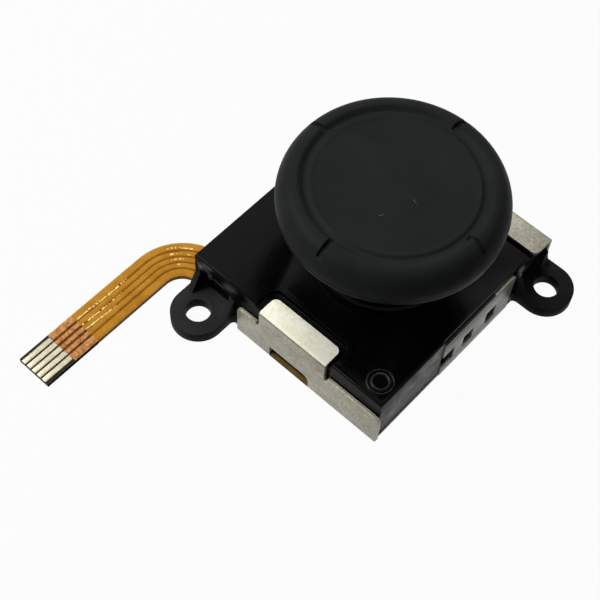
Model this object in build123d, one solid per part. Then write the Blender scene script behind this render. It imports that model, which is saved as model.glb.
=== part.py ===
"""Low thumbstick module for a handheld controller, in millimetres.

The origin lies on the axis of the stick, on the underside of the metal base plate, with +Z up.
-Y is the side with the wide front wall of the base plate, and the flat flex tail runs along -Y
outside the left wall. The stick leans about the X axis with the lower yoke, about the Y axis on
the hub pins, and slides down in the hub to click the dome. The upper arch follows the lean about Y.
Each end arm moves a slider with a wiper over a carbon track on the flex.
"""
from build123d import *
from math import radians, sin, sqrt
import os

# Driving dimensions of the body
BODY_LEFT = -9.34
BODY_RIGHT = 7.31
BODY_FRONT = -8.75
BODY_BACK = 8.84
BODY_TOP = 4.80
WALL = 0.80
ROOF = 0.80
CAVITY_CORNER = 0.8
TOP_EDGE_ROUND = 0.16

# Driving dimensions of the folded metal base plate
SHEET = 0.25
SHEET_GAP = 0.06
FOLD_RADIUS = 0.25
FRONT_WALL_LEFT = -5.10
FRONT_WALL_RIGHT = 7.50
FRONT_WALL_TOP = 3.30
FRONT_WALL_LOW_TOP = 3.08
FRONT_WALL_CORNER = 0.45
TAB_LEFT = -3.09
TAB_RIGHT = 2.74
TAB_TOP = 4.76
TAB_DEPTH = 1.64
BACK_TAB_DEPTH = 1.90
TAB_CORNER = 0.45
RELIEF_WIDTH = 0.30
RELIEF_DEPTH = 0.45
BACK_TAB_LEFT = 1.77
BACK_TAB_RIGHT = 7.50
SIDE_PLATE_FRONT = -2.20
SIDE_PLATE_BACK = 5.40
SIDE_PLATE_TOP = 4.16
WINDOW_WIDTH = 1.10
WINDOW_BOTTOM = 0.95
WINDOW_TOP = 2.50
WINDOW_CENTRES = (-1.45, 0.60, 3.10)
SLOT_LEFT = -2.07
SLOT_RIGHT = 1.47
SLOT_TOP = 1.38
SLOT_ROUND = 0.55
STAKE_RADIUS = 0.50
STAKE_PLACES = ((-7.90, 7.50), (5.30, -7.30))

# Driving dimensions of the round collar, the top marks and the screw ears
COLLAR_WALL = 1.30
COLLAR_HEIGHT = 1.20
RING_PLACE = (6.07, -7.45)
RING_RADIUS = 0.88
RING_HEIGHT = 0.08
EAR_HOLE_RADIUS = 0.90
EAR_RADIUS = 1.95
EAR_THICKNESS = 0.97
EAR_BOTTOM = 0.28
LEFT_EAR = (-7.63, -10.30)
RIGHT_EAR = (8.71, 7.96)
EAR_RIB = 0.45
EAR_RIB_TOP = 2.85
EAR_RIB_REACH = 0.90
EAR_POCKET_TOP = 3.30
EAR_FILLET = 0.45
NUB_PLACE = (-7.82, 3.62)
NUB_RADIUS = 0.22
NUB_HEIGHT = 0.12

# Driving dimensions of the flex circuit and what lies on it
ADHESIVE = 0.04
FLEX = 0.12
FLEX_WIDTH = 2.80
FLEX_EXIT_Y = -6.95
FLEX_BEND_RADIUS = 2.90
FLEX_BEND_X = -9.75
FLEX_END_Y = -21.00
FLEX_LIP_LOW = 0.04
FINGER_COUNT = 5
FINGER_PITCH = 0.50
FINGER_WIDTH = 0.40
FINGER_LENGTH = 2.50
FINGER_THICKNESS = 0.02
STIFFENER_LENGTH = 4.60
TRACK = 0.03
TRACK_HALF = 2.30
TRACK_WIDTH = 1.10

# Driving dimensions of the mechanism
PIVOT = 2.30
FULL_TILT = 18.0
PRESS_TRAVEL = 0.25
RUN = 0.05
SIDE_PLAY = 0.08
JOURNAL_RADIUS = 0.50
BAR_RADIUS = 0.60
BEARING_IN = 5.40
BEARING_WIDTH = 0.70
BEARING_HALF = 1.60
BEARING_BOTTOM = 1.20
STEM_RADIUS = 0.75
STEM_TOP_RADIUS = 0.90
HUB_HALF_X = 1.20
HUB_HALF_Y = 1.30
HUB_LOW = -0.80
HUB_HIGH = 0.85
PIN_RADIUS = 0.35
FRAME_HALF_X = 2.25
FRAME_HALF_Y = 1.90
FRAME_HALF_HEIGHT = 0.55
FRAME_END = 0.60
ARCH_SHEET = 0.50
ARCH_PLAY = 0.20
ARCH_CROWN = 0.12
ARCH_HALF = 1.40
SLOT_PLAY = 0.10
ARM_LENGTH = 1.05
ARM_TIP_RADIUS = 0.35
ARM_WIDTH = 0.70
SLIDER_HALF = 1.50
SLIDER_TOP = 1.50
SLIDER_FLOOR = 0.62
SLIDER_OUT = 0.50
WIPER = 0.08
CONTACT_GAP = 0.02

# Driving dimensions of the click switch and the return spring
PAD = 0.02
CLICK_RADIUS = 1.60
CLICK_HEIGHT = 0.35
CLICK_SHEET = 0.06
FILM = 0.04
TIP_GAP = 0.13
SPRING_RADIUS = 1.85
SPRING_WIRE = 0.24
SPRING_TURNS = 3
SPRING_PLAY = 0.02

# Driving dimensions of the dust dome and the cap
DOME_RADIUS = 4.30
DOME_WALL = 0.45
DOME_DEPTH = 2.10
DOME_PLAY = 0.12
NECK_RADIUS = 1.50
BOSS_PLAY = 0.15
CAP_RADIUS = 7.55
CAP_DISC_Z = 13.18
CAP_RIM_RISE = 0.14
CAP_WIDE_DROP = 1.68
CAP_SIDE_HEIGHT = 0.16
CAP_CREST_INSET = 1.30
CAP_DISC_INSET = 1.78
CAP_BOTTOM_INSET = 0.05
CAP_SHOULDER_RADIUS = 2.30
CAP_DISH = 0.08
CAP_STEP = 0.10
CAP_SKIN = 0.93
CORE_RING_HEIGHT = 0.64
CORE_RING_INSET = 0.03
CORE_HEAD_HEIGHT = 0.45
CORE_HEAD_INSET = 1.25
CORE_THROAT_INSET = 1.60
NOTCH_WIDTH = 0.30
NOTCH_DEPTH = 0.08
NOTCH_START = 0.12
STEM_SOCKET = 1.10

# Smaller gaps, rounds and steps
BEND_SHARE = 0.8
TAB_RIM_GAP = 0.50
TAB_SIDE_GAP = 0.60
TAB_END_GAP = 0.42
LIP_WIDTH = 0.35
LIP_HEIGHT = 0.10
SIDE_STEP = 0.13
COLLAR_ROUND = 0.35
RING_WALL = 0.24
STAKE_SHOULDER = 0.35
STAKE_SET_BACK = 0.04
HOOK_MARGIN = 0.15
FLEX_MARGIN = 0.15
TRACK_GAP = 0.30
PAD_RIM = 0.10
CENTRE_PAD = 0.50
ARM_NECK = 0.50
FRAME_ROUND = 0.30
HUB_ROUND = 0.25
ARCH_SLOT_EXTRA = 24.0
NECK_STEP = 0.15
SPRING_SIDES = 8
CORE_RING_DISH = 0.60
CORE_RING_LAND = 2.40
CORE_RING_CHAMFER = 0.15
CORE_HEAD_SLOPE = 0.20
SLIDER_GAP = 0.20
SLIDER_ROUND = 0.15
SLIDER_PLAY = 0.08
WIPER_REACH = 1.10

# Sizes that follow from the driving dimensions
FLOOR = SHEET
FLEX_LOW = FLOOR + ADHESIVE
FLEX_TOP = FLEX_LOW + FLEX
TRACK_TOP = FLEX_TOP + TRACK
CEILING = BODY_TOP - ROOF
PLATE_FRONT = BODY_FRONT - SHEET_GAP - SHEET
PLATE_BACK = BODY_BACK + SHEET_GAP + SHEET
SIDE_FACE = BODY_RIGHT + SHEET_GAP
RECESSED_RIGHT = SIDE_FACE - SHEET - SHEET_GAP
CAVITY_LEFT = BODY_LEFT + WALL
CAVITY_RIGHT = RECESSED_RIGHT - WALL
CAVITY_FRONT = BODY_FRONT + WALL
CAVITY_BACK = BODY_BACK - WALL
EAR_TOP = EAR_BOTTOM + EAR_THICKNESS
FRAME_LOW = PIVOT - FRAME_HALF_HEIGHT
DOME_TOP = FLEX_TOP + PAD + CLICK_HEIGHT
FILM_TOP = DOME_TOP + FILM
TIP_Z = FILM_TOP + TIP_GAP
DOME_EDGE = DOME_RADIUS - DOME_DEPTH
OPENING_RADIUS = sqrt((DOME_RADIUS + DOME_PLAY) ** 2 - (BODY_TOP - PIVOT) ** 2)
COLLAR_RADIUS = OPENING_RADIUS + COLLAR_WALL
ARCH_OUTER = DOME_RADIUS - DOME_WALL - PRESS_TRAVEL - ARCH_PLAY
ARCH_INNER = ARCH_OUTER - ARCH_SHEET
BOSS_LOW = ARCH_OUTER + PRESS_TRAVEL + BOSS_PLAY
CAP_WIDE_Z = CAP_DISC_Z - CAP_WIDE_DROP
CAP_CREST_Z = CAP_DISC_Z + CAP_RIM_RISE
CAP_CREST_RADIUS = CAP_RADIUS - CAP_CREST_INSET
CAP_DISC_RADIUS = CAP_RADIUS - CAP_DISC_INSET
CAP_BOTTOM_Z = CAP_WIDE_Z - CAP_SIDE_HEIGHT
CAP_BOTTOM_RADIUS = CAP_RADIUS - CAP_BOTTOM_INSET
CORE_RING_Z = CAP_BOTTOM_Z - CORE_RING_HEIGHT
CORE_RING_RADIUS = CAP_BOTTOM_RADIUS - CORE_RING_INSET
CORE_THROAT_RADIUS = CAP_BOTTOM_RADIUS - CORE_THROAT_INSET
CORE_HEAD_RADIUS = CAP_RADIUS - CORE_HEAD_INSET
CORE_HEAD_TOP = CAP_DISC_Z - CAP_DISH - CAP_SKIN
CORE_HEAD_BOTTOM = CORE_HEAD_TOP - CORE_HEAD_HEIGHT
STEM_TOP = CORE_HEAD_TOP - STEM_SOCKET
SHOULDER = HUB_HIGH + PRESS_TRAVEL + 2 * RUN
BEARING_OUT = BEARING_IN + BEARING_WIDTH
ARM_IN = BEARING_OUT + 0.40
ARM_OUT = ARM_IN + ARM_WIDTH
BAR_END = BEARING_IN - 0.10


def block(x0, x1, y0, y1, z0, z1):
    """A box between two corners."""
    return Pos((x0 + x1) / 2, (y0 + y1) / 2, (z0 + z1) / 2) * Box(x1 - x0, y1 - y0, z1 - z0)


def post(x, y, z0, z1, radius):
    """A round bar along Z."""
    return Pos(x, y, (z0 + z1) / 2) * Cylinder(radius, z1 - z0)


def rod_x(x0, x1, radius, z=PIVOT):
    """A round bar along X through the pivot height."""
    return Pos((x0 + x1) / 2, 0, z) * Rot(0, 90, 0) * Cylinder(radius, x1 - x0)


def rod_y(y0, y1, radius, z=PIVOT):
    """A round bar along Y through the pivot height."""
    return Pos(0, (y0 + y1) / 2, z) * Rot(90, 0, 0) * Cylinder(radius, y1 - y0)


def edges_at(part, axis, **place):
    """The edges along an axis whose middle lies at the given X, Y or Z."""
    found = part.edges().filter_by(axis)
    return [e for e in found if all(abs(getattr(e.center(), k) - v) < 0.01 for k, v in place.items())]


def spun(points):
    """A solid turned about Z from a closed outline of (radius, height) points."""
    return revolve(Plane.XZ * make_face(Polyline(*points, close=True)), Axis.Z)


# The folded metal base plate
def top_tab(x0, x1, y_outer, inward, depth):
    """A tab that rises from a wall and folds flat over the housing, inward being +1 or -1 in Y."""
    y_inner = y_outer + inward * depth
    rise = block(x0, x1, min(y_outer, y_outer + inward * SHEET), max(y_outer, y_outer + inward * SHEET),
                 FRONT_WALL_TOP - RELIEF_DEPTH, TAB_TOP)
    flat = block(x0, x1, min(y_outer, y_inner), max(y_outer, y_inner), TAB_TOP - SHEET, TAB_TOP)
    tab = rise + flat
    tab = fillet(edges_at(tab, Axis.X, Y=y_outer, Z=TAB_TOP), FOLD_RADIUS)
    corners = edges_at(tab, Axis.Z, X=x0, Y=y_inner) + edges_at(tab, Axis.Z, X=x1, Y=y_inner)
    return fillet(corners, TAB_CORNER)


def front_wall():
    """The front wall with its lower left part, relief cuts beside the tab and the low slot."""
    wall = block(FRONT_WALL_LEFT, FRONT_WALL_RIGHT, PLATE_FRONT, PLATE_FRONT + SHEET, 0, FRONT_WALL_TOP)
    low_end = TAB_LEFT - RELIEF_WIDTH
    wall -= block(FRONT_WALL_LEFT - 1, low_end, PLATE_FRONT - 1, BODY_FRONT, FRONT_WALL_LOW_TOP, BODY_TOP)
    wall = fillet(edges_at(wall, Axis.Y, X=FRONT_WALL_LEFT, Z=FRONT_WALL_LOW_TOP), FRONT_WALL_CORNER)
    wall = fillet(edges_at(wall, Axis.Y, X=FRONT_WALL_RIGHT, Z=FRONT_WALL_TOP), FRONT_WALL_CORNER)
    relief_foot = FRONT_WALL_TOP - RELIEF_DEPTH
    for x in (low_end, TAB_RIGHT):
        wall -= block(x, x + RELIEF_WIDTH, PLATE_FRONT - 1, BODY_FRONT, relief_foot, BODY_TOP)
    return wall + top_tab(TAB_LEFT, TAB_RIGHT, PLATE_FRONT, 1, TAB_DEPTH)


def front_slot():
    """The cutter of the slot at the foot of the front wall, its upper right corner round."""
    cutter = block(SLOT_LEFT, SLOT_RIGHT, PLATE_FRONT - 1, PLATE_FRONT + 2 * SHEET, -1, SLOT_TOP)
    return fillet(edges_at(cutter, Axis.Y, X=SLOT_RIGHT, Z=SLOT_TOP), SLOT_ROUND)


def lower_corner(x, inward):
    """The cutter that rounds a lower corner of the front wall, inward being +1 or -1 in X."""
    x0, x1 = sorted((x - inward, x + inward * FRONT_WALL_CORNER))
    corner = block(x0, x1, PLATE_FRONT - 1, BODY_FRONT, -1, FRONT_WALL_CORNER)
    turn = Pos(x + inward * FRONT_WALL_CORNER, PLATE_FRONT, FRONT_WALL_CORNER) * Rot(90, 0, 0)
    return corner - turn * Cylinder(FRONT_WALL_CORNER, 4)


def back_wall():
    """The back wall with the second folded tab at its right end."""
    left = -FRONT_WALL_RIGHT
    wall = block(left, BODY_RIGHT - SHEET_GAP, PLATE_BACK - SHEET, PLATE_BACK, 0, FRONT_WALL_TOP)
    wall = fillet(edges_at(wall, Axis.Y, X=left, Z=FRONT_WALL_TOP), FRONT_WALL_CORNER)
    x = BACK_TAB_LEFT - RELIEF_WIDTH
    wall -= block(x, x + RELIEF_WIDTH, BODY_BACK, PLATE_BACK + 1, FRONT_WALL_TOP - RELIEF_DEPTH, BODY_TOP)
    return wall + top_tab(BACK_TAB_LEFT, BACK_TAB_RIGHT, PLATE_BACK, -1, BACK_TAB_DEPTH)


def side_plate():
    """The right wall with its three windows, the first open towards the front."""
    plate = block(SIDE_FACE - SHEET, SIDE_FACE, SIDE_PLATE_FRONT, SIDE_PLATE_BACK, 0, SIDE_PLATE_TOP)
    plate = fillet(edges_at(plate, Axis.X, Y=SIDE_PLATE_BACK, Z=SIDE_PLATE_TOP), SHEET)
    half = WINDOW_WIDTH / 2
    for y in WINDOW_CENTRES:
        plate -= block(SIDE_FACE - 2 * SHEET, SIDE_FACE + 1, y - half, y + half, WINDOW_BOTTOM, WINDOW_TOP)
    y0, y1 = SIDE_PLATE_FRONT - 1, WINDOW_CENTRES[0]
    return plate - block(SIDE_FACE - 2 * SHEET, SIDE_FACE + 1, y0, y1, WINDOW_BOTTOM, WINDOW_TOP)


def base_plate():
    """The base plate: a floor with three walls and two tabs folded up from one sheet."""
    floor = block(BODY_LEFT + SHEET, SIDE_FACE, BODY_FRONT, BODY_BACK, 0, SHEET)
    floor = fillet(edges_at(floor, Axis.Y, X=SIDE_FACE, Z=0), SHEET * BEND_SHARE)
    floor += block(FRONT_WALL_LEFT, FRONT_WALL_RIGHT, PLATE_FRONT, BODY_FRONT, 0, SHEET)
    floor += block(-FRONT_WALL_RIGHT, BODY_RIGHT - SHEET_GAP, BODY_BACK, PLATE_BACK, 0, SHEET)
    plate = floor + front_wall() + back_wall() + side_plate()
    bends = edges_at(plate, Axis.X, Y=PLATE_FRONT, Z=0) + edges_at(plate, Axis.X, Y=PLATE_BACK, Z=0)
    plate = fillet(bends, FOLD_RADIUS)
    plate -= front_slot()
    plate -= lower_corner(FRONT_WALL_LEFT, 1)
    plate -= lower_corner(FRONT_WALL_RIGHT, -1)
    for x, y in STAKE_PLACES:
        plate -= post(x, y, -1, 1, STAKE_RADIUS + RUN)
    return plate


# The moulded housing
def ear(distance, rib_places, side):
    """A screw ear that points along -Y from a wall at y = 0, its hole at the given distance.

    A small fillet joins it to the wall on the given side, +1 or -1 in X.
    """
    plate = post(0, -distance, EAR_BOTTOM, EAR_TOP, EAR_RADIUS)
    plate += block(-EAR_RADIUS, EAR_RADIUS, -distance, 0, EAR_BOTTOM, EAR_TOP)
    plate -= block(-EAR_RADIUS - 1, EAR_RADIUS + 1, 0, EAR_RADIUS, 0, BODY_TOP)
    far = EAR_RADIUS + EAR_FILLET
    x0, x1 = sorted((side * EAR_RADIUS, side * far))
    corner = block(x0, x1, -EAR_FILLET, 0, EAR_BOTTOM, EAR_TOP)
    plate += corner - post(side * far, -EAR_FILLET, 0, BODY_TOP, EAR_FILLET)
    plate -= post(0, -distance, EAR_BOTTOM - 1, EAR_TOP + 1, EAR_HOLE_RADIUS)
    for x in rib_places:
        outline = Polyline((0, EAR_TOP), (-EAR_RIB_REACH, EAR_TOP), (0, EAR_RIB_TOP), close=True)
        rib = extrude(Plane.YZ * make_face(outline), EAR_RIB)
        plate += Pos(x, 0, 0) * rib
    return plate


def ears():
    """The two screw ears, one on the front wall and one on the right wall."""
    x, y = LEFT_EAR
    left_ribs = (BODY_LEFT - x, EAR_RADIUS - EAR_RIB)
    left = Pos(x, BODY_FRONT, 0) * ear(BODY_FRONT - y, left_ribs, 1)
    x, y = RIGHT_EAR
    right_ribs = (-EAR_RADIUS, BODY_BACK - EAR_RIB - y)
    right = Pos(BODY_RIGHT, y, 0) * Rot(0, 0, 90) * ear(x - BODY_RIGHT, right_ribs, -1)
    return left, right


def ear_pockets():
    """The cutters of the shallow pockets in the walls behind the ears."""
    x0, x1 = BODY_LEFT + EAR_RIB, LEFT_EAR[0] + EAR_RADIUS - EAR_RIB
    depth = WALL / 2
    left = block(x0, x1, BODY_FRONT - 1, BODY_FRONT + depth, EAR_TOP, EAR_POCKET_TOP)
    y0, y1 = RIGHT_EAR[1] - EAR_RADIUS + EAR_RIB, BODY_BACK - EAR_RIB
    right = block(BODY_RIGHT - depth, BODY_RIGHT + 1, y0, y1, EAR_TOP, EAR_POCKET_TOP)
    return left, right


def tab_recess(x0, x1, y_inner, inward):
    """The cutter under a folded tab, open to the outside, inward being +1 or -1 in Y."""
    y_far = y_inner - inward * (BACK_TAB_DEPTH + 2)
    floor = TAB_TOP - SHEET - SHEET_GAP
    cutter = block(x0, x1, min(y_inner, y_far), max(y_inner, y_far), floor, BODY_TOP + 1)
    corners = edges_at(cutter, Axis.Z, X=x0, Y=y_inner) + edges_at(cutter, Axis.Z, X=x1, Y=y_inner)
    return fillet(corners, TAB_CORNER + TAB_RIM_GAP / 2)


def front_recess():
    """The cutter under the front tab."""
    y_inner = PLATE_FRONT + TAB_DEPTH + TAB_RIM_GAP
    return tab_recess(TAB_LEFT - TAB_SIDE_GAP, TAB_RIGHT + TAB_END_GAP, y_inner, 1)


def back_recess():
    """The cutter under the back tab, which runs out at the right end."""
    y_inner = PLATE_BACK - BACK_TAB_DEPTH - TAB_RIM_GAP
    return tab_recess(BACK_TAB_LEFT - TAB_SIDE_GAP, BODY_RIGHT + 2, y_inner, -1)


def front_lip():
    """The raised lip round the back and the right side of the front recess."""
    y_in = PLATE_FRONT + TAB_DEPTH + TAB_RIM_GAP
    x0, x1 = TAB_LEFT - TAB_SIDE_GAP / 2, TAB_RIGHT + TAB_END_GAP + LIP_WIDTH
    z0, z1 = BODY_TOP - LIP_HEIGHT, BODY_TOP + LIP_HEIGHT
    lip = block(x0, x1, BODY_FRONT + LIP_WIDTH, y_in + LIP_WIDTH, z0, z1)
    corner = edges_at(lip, Axis.Z, X=x1, Y=y_in + LIP_WIDTH)
    return fillet(corner, TAB_CORNER + TAB_RIM_GAP / 2 + LIP_WIDTH) - front_recess()


def bearing(angle):
    """A bearing wall under the roof with a slot for a journal, turned to its side of the stick."""
    wall = block(BEARING_IN, BEARING_OUT, -BEARING_HALF, BEARING_HALF, BEARING_BOTTOM, CEILING)
    bore = JOURNAL_RADIUS + RUN
    wall -= rod_x(BEARING_IN - 1, BEARING_OUT + 1, bore)
    wall -= block(BEARING_IN - 1, BEARING_OUT + 1, -bore, bore, 0, PIVOT)
    return Rot(0, 0, angle) * wall


def housing_shell():
    """The outer block with its collar, steps and cavity."""
    shell = block(BODY_LEFT, BODY_RIGHT, BODY_FRONT, BODY_BACK, SHEET, BODY_TOP)
    top = [e for e in shell.edges() if abs(e.center().Z - BODY_TOP) < 0.01]
    shell = fillet(top, TOP_EDGE_ROUND)
    y0, y1 = SIDE_PLATE_FRONT - SIDE_STEP, SIDE_PLATE_BACK + SIDE_STEP
    shell -= block(RECESSED_RIGHT, BODY_RIGHT + 1, y0, y1, 0, SIDE_PLATE_TOP + SIDE_STEP)
    shell -= block(BODY_RIGHT - SIDE_STEP, BODY_RIGHT + 1, y0, y1, 0, BODY_TOP + 1)
    cavity = block(CAVITY_LEFT, CAVITY_RIGHT, CAVITY_FRONT, CAVITY_BACK, 0, CEILING)
    shell -= fillet(cavity.edges().filter_by(Axis.Z), CAVITY_CORNER)
    collar = post(0, 0, BODY_TOP - ROOF / 2, BODY_TOP + COLLAR_HEIGHT, COLLAR_RADIUS)
    rim = [e for e in collar.edges() if abs(e.center().Z - BODY_TOP - COLLAR_HEIGHT) < 0.01]
    shell += fillet(rim, COLLAR_ROUND)
    shell -= post(0, 0, CEILING - 1, BODY_TOP + COLLAR_HEIGHT + 1, OPENING_RADIUS)
    pocket = Pos(0, 0, PIVOT) * Sphere(DOME_RADIUS + DOME_PLAY)
    return shell - (pocket - block(-9, 9, -9, 9, BODY_TOP, BODY_TOP + 9))


def ring_mark(part):
    """Add the small raised ring with its dimple near the front right corner of the top."""
    x, y = RING_PLACE
    ring = post(x, y, BODY_TOP - RING_HEIGHT, BODY_TOP + RING_HEIGHT, RING_RADIUS)
    dimple = post(x, y, BODY_TOP - RING_HEIGHT, BODY_TOP + 1, RING_RADIUS - RING_WALL)
    return part + ring - dimple


def front_nub():
    """The small round nub above the pocket behind the left ear."""
    x, z = NUB_PLACE
    return Pos(x, BODY_FRONT, z) * Rot(90, 0, 0) * Cylinder(NUB_RADIUS, 2 * NUB_HEIGHT)


def stakes():
    """The corner pillars whose pegs pass through the base plate."""
    pegs = []
    for x, y in STAKE_PLACES:
        pegs.append(post(x, y, SHEET, CEILING, STAKE_RADIUS + STAKE_SHOULDER))
        pegs.append(post(x, y, STAKE_SET_BACK, SHEET, STAKE_RADIUS))
    return pegs


def window_hooks():
    """The sloped catches of the housing in the first and last window of the side plate."""
    hooks = []
    for y in (WINDOW_CENTRES[0], WINDOW_CENTRES[-1]):
        out = SIDE_FACE - SHEET_GAP - RECESSED_RIGHT
        low, high = WINDOW_BOTTOM + HOOK_MARGIN, WINDOW_TOP - HOOK_MARGIN
        slope = HOOK_MARGIN
        outline = Polyline((0, low), (out, low + slope), (out, high - slope), (0, high), close=True)
        half = WINDOW_WIDTH / 2 - HOOK_MARGIN
        hook = extrude(Plane.XZ * make_face(outline), half, both=True)
        hooks.append(Pos(RECESSED_RIGHT, y, 0) * hook)
    return hooks


def housing():
    """The moulded housing with its ears, bearings, pegs and openings."""
    part = housing_shell()
    part += front_lip()
    part -= front_recess()
    part -= back_recess()
    for pocket in ear_pockets():
        part -= pocket
    for piece in (*ears(), *stakes(), *window_hooks(), front_nub()):
        part += piece
    for angle in (0, 90, 180, 270):
        part += bearing(angle)
    half = FLEX_WIDTH / 2 + SHEET_GAP
    y0, y1 = FLEX_EXIT_Y - half, FLEX_EXIT_Y + half
    part -= block(BODY_LEFT - 1, CAVITY_LEFT + 1, y0, y1, 0, FLEX_TOP + SHEET_GAP)
    part -= block(SLOT_LEFT - SHEET_GAP, SLOT_RIGHT, BODY_FRONT - 1, CAVITY_FRONT + 1, 0, SLOT_TOP)
    return ring_mark(part)


# The flex circuit and what lies on it
def flex_outline():
    """The flat outline of the flex: the part inside the housing and the bent tail outside."""
    half = FLEX_WIDTH / 2
    inner_left = CAVITY_LEFT + FLEX_MARGIN
    front = CAVITY_FRONT + FLEX_MARGIN
    sheet = block(inner_left, TRACK_HALF + FLEX_MARGIN, front, FLEX_EXIT_Y + half, 0, 1)
    sheet += block(inner_left, -BEARING_OUT + FLEX_MARGIN, front, TRACK_HALF + FLEX_MARGIN, 0, 1)
    pad = SPRING_RADIUS + SPRING_WIRE + FLEX_MARGIN
    sheet += block(-BEARING_OUT, pad, -pad, pad, 0, 1)
    sheet += block(SLOT_LEFT + FLEX_MARGIN, SLOT_RIGHT - FLEX_MARGIN, PLATE_FRONT + SHEET_GAP, front, 0, 1)
    return sheet + flex_tail()


def flex_tail():
    """The tail: out through the left wall, round a flat bend and along -Y."""
    half = FLEX_WIDTH / 2
    bend_y = FLEX_EXIT_Y - FLEX_BEND_RADIUS
    run_x = FLEX_BEND_X - FLEX_BEND_RADIUS
    tail = block(FLEX_BEND_X, CAVITY_LEFT + FLEX_MARGIN, FLEX_EXIT_Y - half, FLEX_EXIT_Y + half, 0, 1)
    ring = post(FLEX_BEND_X, bend_y, 0, 1, FLEX_BEND_RADIUS + half)
    ring -= post(FLEX_BEND_X, bend_y, -1, 2, FLEX_BEND_RADIUS - half)
    span = FLEX_BEND_RADIUS + half + 1
    tail += ring & block(FLEX_BEND_X - span, FLEX_BEND_X, bend_y, bend_y + span, 0, 1)
    return tail + block(run_x - half, run_x + half, FLEX_END_Y, bend_y, 0, 1)


def flat(outline, low, high):
    """A flat outline of unit height laid between two heights."""
    return extrude(Pos(0, 0, low) * outline.faces().sort_by(Axis.Z)[0], high - low, dir=(0, 0, 1))


def flex_circuit():
    """The polyimide sheet, with a thicker lip that shows in the front slot."""
    y0, y1 = PLATE_FRONT + SHEET_GAP, PLATE_FRONT + 2 * SHEET - SHEET_GAP
    lip = block(SLOT_LEFT + FLEX_MARGIN, SLOT_RIGHT - FLEX_MARGIN, y0, y1, FLEX_LIP_LOW, FLEX_TOP)
    return flat(flex_outline(), FLEX_LOW, FLEX_TOP) + lip


def adhesive_sheet():
    """The adhesive between the flex and the floor of the base plate."""
    inside = block(CAVITY_LEFT, CAVITY_RIGHT, CAVITY_FRONT, CAVITY_BACK, 0, 1)
    return flat(flex_outline() & inside, FLOOR, FLEX_LOW)


def contact_stiffener():
    """The stiffener under the contact end of the tail."""
    run_x = FLEX_BEND_X - FLEX_BEND_RADIUS
    half = FLEX_WIDTH / 2
    return block(run_x - half, run_x + half, FLEX_END_Y, FLEX_END_Y + STIFFENER_LENGTH, 0, FLEX_LOW)


def contact_fingers():
    """The gold fingers at the end of the tail, one group of separate strips."""
    run_x = FLEX_BEND_X - FLEX_BEND_RADIUS
    fingers = []
    for i in range(FINGER_COUNT):
        x = run_x + (i - (FINGER_COUNT - 1) / 2) * FINGER_PITCH
        half = FINGER_WIDTH / 2
        y1 = FLEX_END_Y + FINGER_LENGTH
        fingers.append(block(x - half, x + half, FLEX_END_Y, y1, FLEX_TOP, FLEX_TOP + FINGER_THICKNESS))
    return Compound(children=fingers)


def carbon_track(angle):
    """Two carbon strips under a slider, for the side of the stick at the given angle."""
    strips = []
    out = ARM_IN + ARM_WIDTH / 2
    strip = (TRACK_WIDTH - TRACK_GAP) / 2
    for side in (-1, 1):
        middle = out + side * (strip + TRACK_GAP) / 2
        bar = block(middle - strip / 2, middle + strip / 2, -TRACK_HALF, TRACK_HALF, FLEX_TOP, TRACK_TOP)
        strips.append(Rot(0, 0, angle) * bar)
    return Compound(children=strips)


# The click switch and the return spring
def click_contact():
    """The ring and the centre pad of the click switch."""
    ring = post(0, 0, FLEX_TOP, FLEX_TOP + PAD, CLICK_RADIUS + PAD_RIM)
    ring -= post(0, 0, FLEX_TOP - 1, FLEX_TOP + 1, CLICK_RADIUS - PAD_RIM * 3)
    return Compound(children=[ring, post(0, 0, FLEX_TOP, FLEX_TOP + PAD, CENTRE_PAD)])


def sphere_cap(radius, low, high):
    """A ball that passes through a circle of the radius at the low height and tops out at the high one."""
    rise = high - low
    ball = (radius * radius + rise * rise) / (2 * rise)
    return Pos(0, 0, high - ball) * Sphere(ball)


def thin_cap(radius, low, top, sheet):
    """A thin domed sheet standing on its rim."""
    outer = sphere_cap(radius, low, top) & post(0, 0, low, top + 1, radius + 1)
    return outer - sphere_cap(radius - sheet, low, top - sheet)


def click_dome():
    """The snap dome."""
    return thin_cap(CLICK_RADIUS, FLEX_TOP + PAD, DOME_TOP, CLICK_SHEET)


def dome_film():
    """The thin film that holds the snap dome down."""
    low = FLEX_TOP + PAD
    outer = sphere_cap(CLICK_RADIUS + FILM, low, FILM_TOP) & post(0, 0, low, FILM_TOP + 1, CLICK_RADIUS + 1)
    return outer - sphere_cap(CLICK_RADIUS, low, DOME_TOP)


def return_spring():
    """The coil that pushes up on the underside of the lower yoke."""
    low = FLEX_TOP + SPRING_WIRE / 2 + SPRING_PLAY
    high = FRAME_LOW - SPRING_WIRE / 2 - SPRING_PLAY
    path = Helix((high - low) / SPRING_TURNS, high - low, SPRING_RADIUS)
    section = RegularPolygon(SPRING_WIRE / 2, SPRING_SIDES)
    wire = sweep(Plane(path @ 0, z_dir=path % 0) * section, path, is_frenet=True)
    return Pos(0, 0, low) * wire


# The yokes, hub and stem
def end_arm():
    """The arm at the end of a yoke that drives a slider, pointing along +X."""
    tip = PIVOT - ARM_LENGTH
    arm = block(ARM_IN, ARM_OUT, -ARM_NECK / 2, ARM_NECK / 2, tip, PIVOT)
    arm += rod_x(ARM_IN, ARM_OUT, ARM_TIP_RADIUS, tip)
    arm += rod_x(ARM_IN, ARM_OUT, BAR_RADIUS)
    return arm + rod_x(BAR_END - RUN, ARM_IN, JOURNAL_RADIUS)


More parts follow.
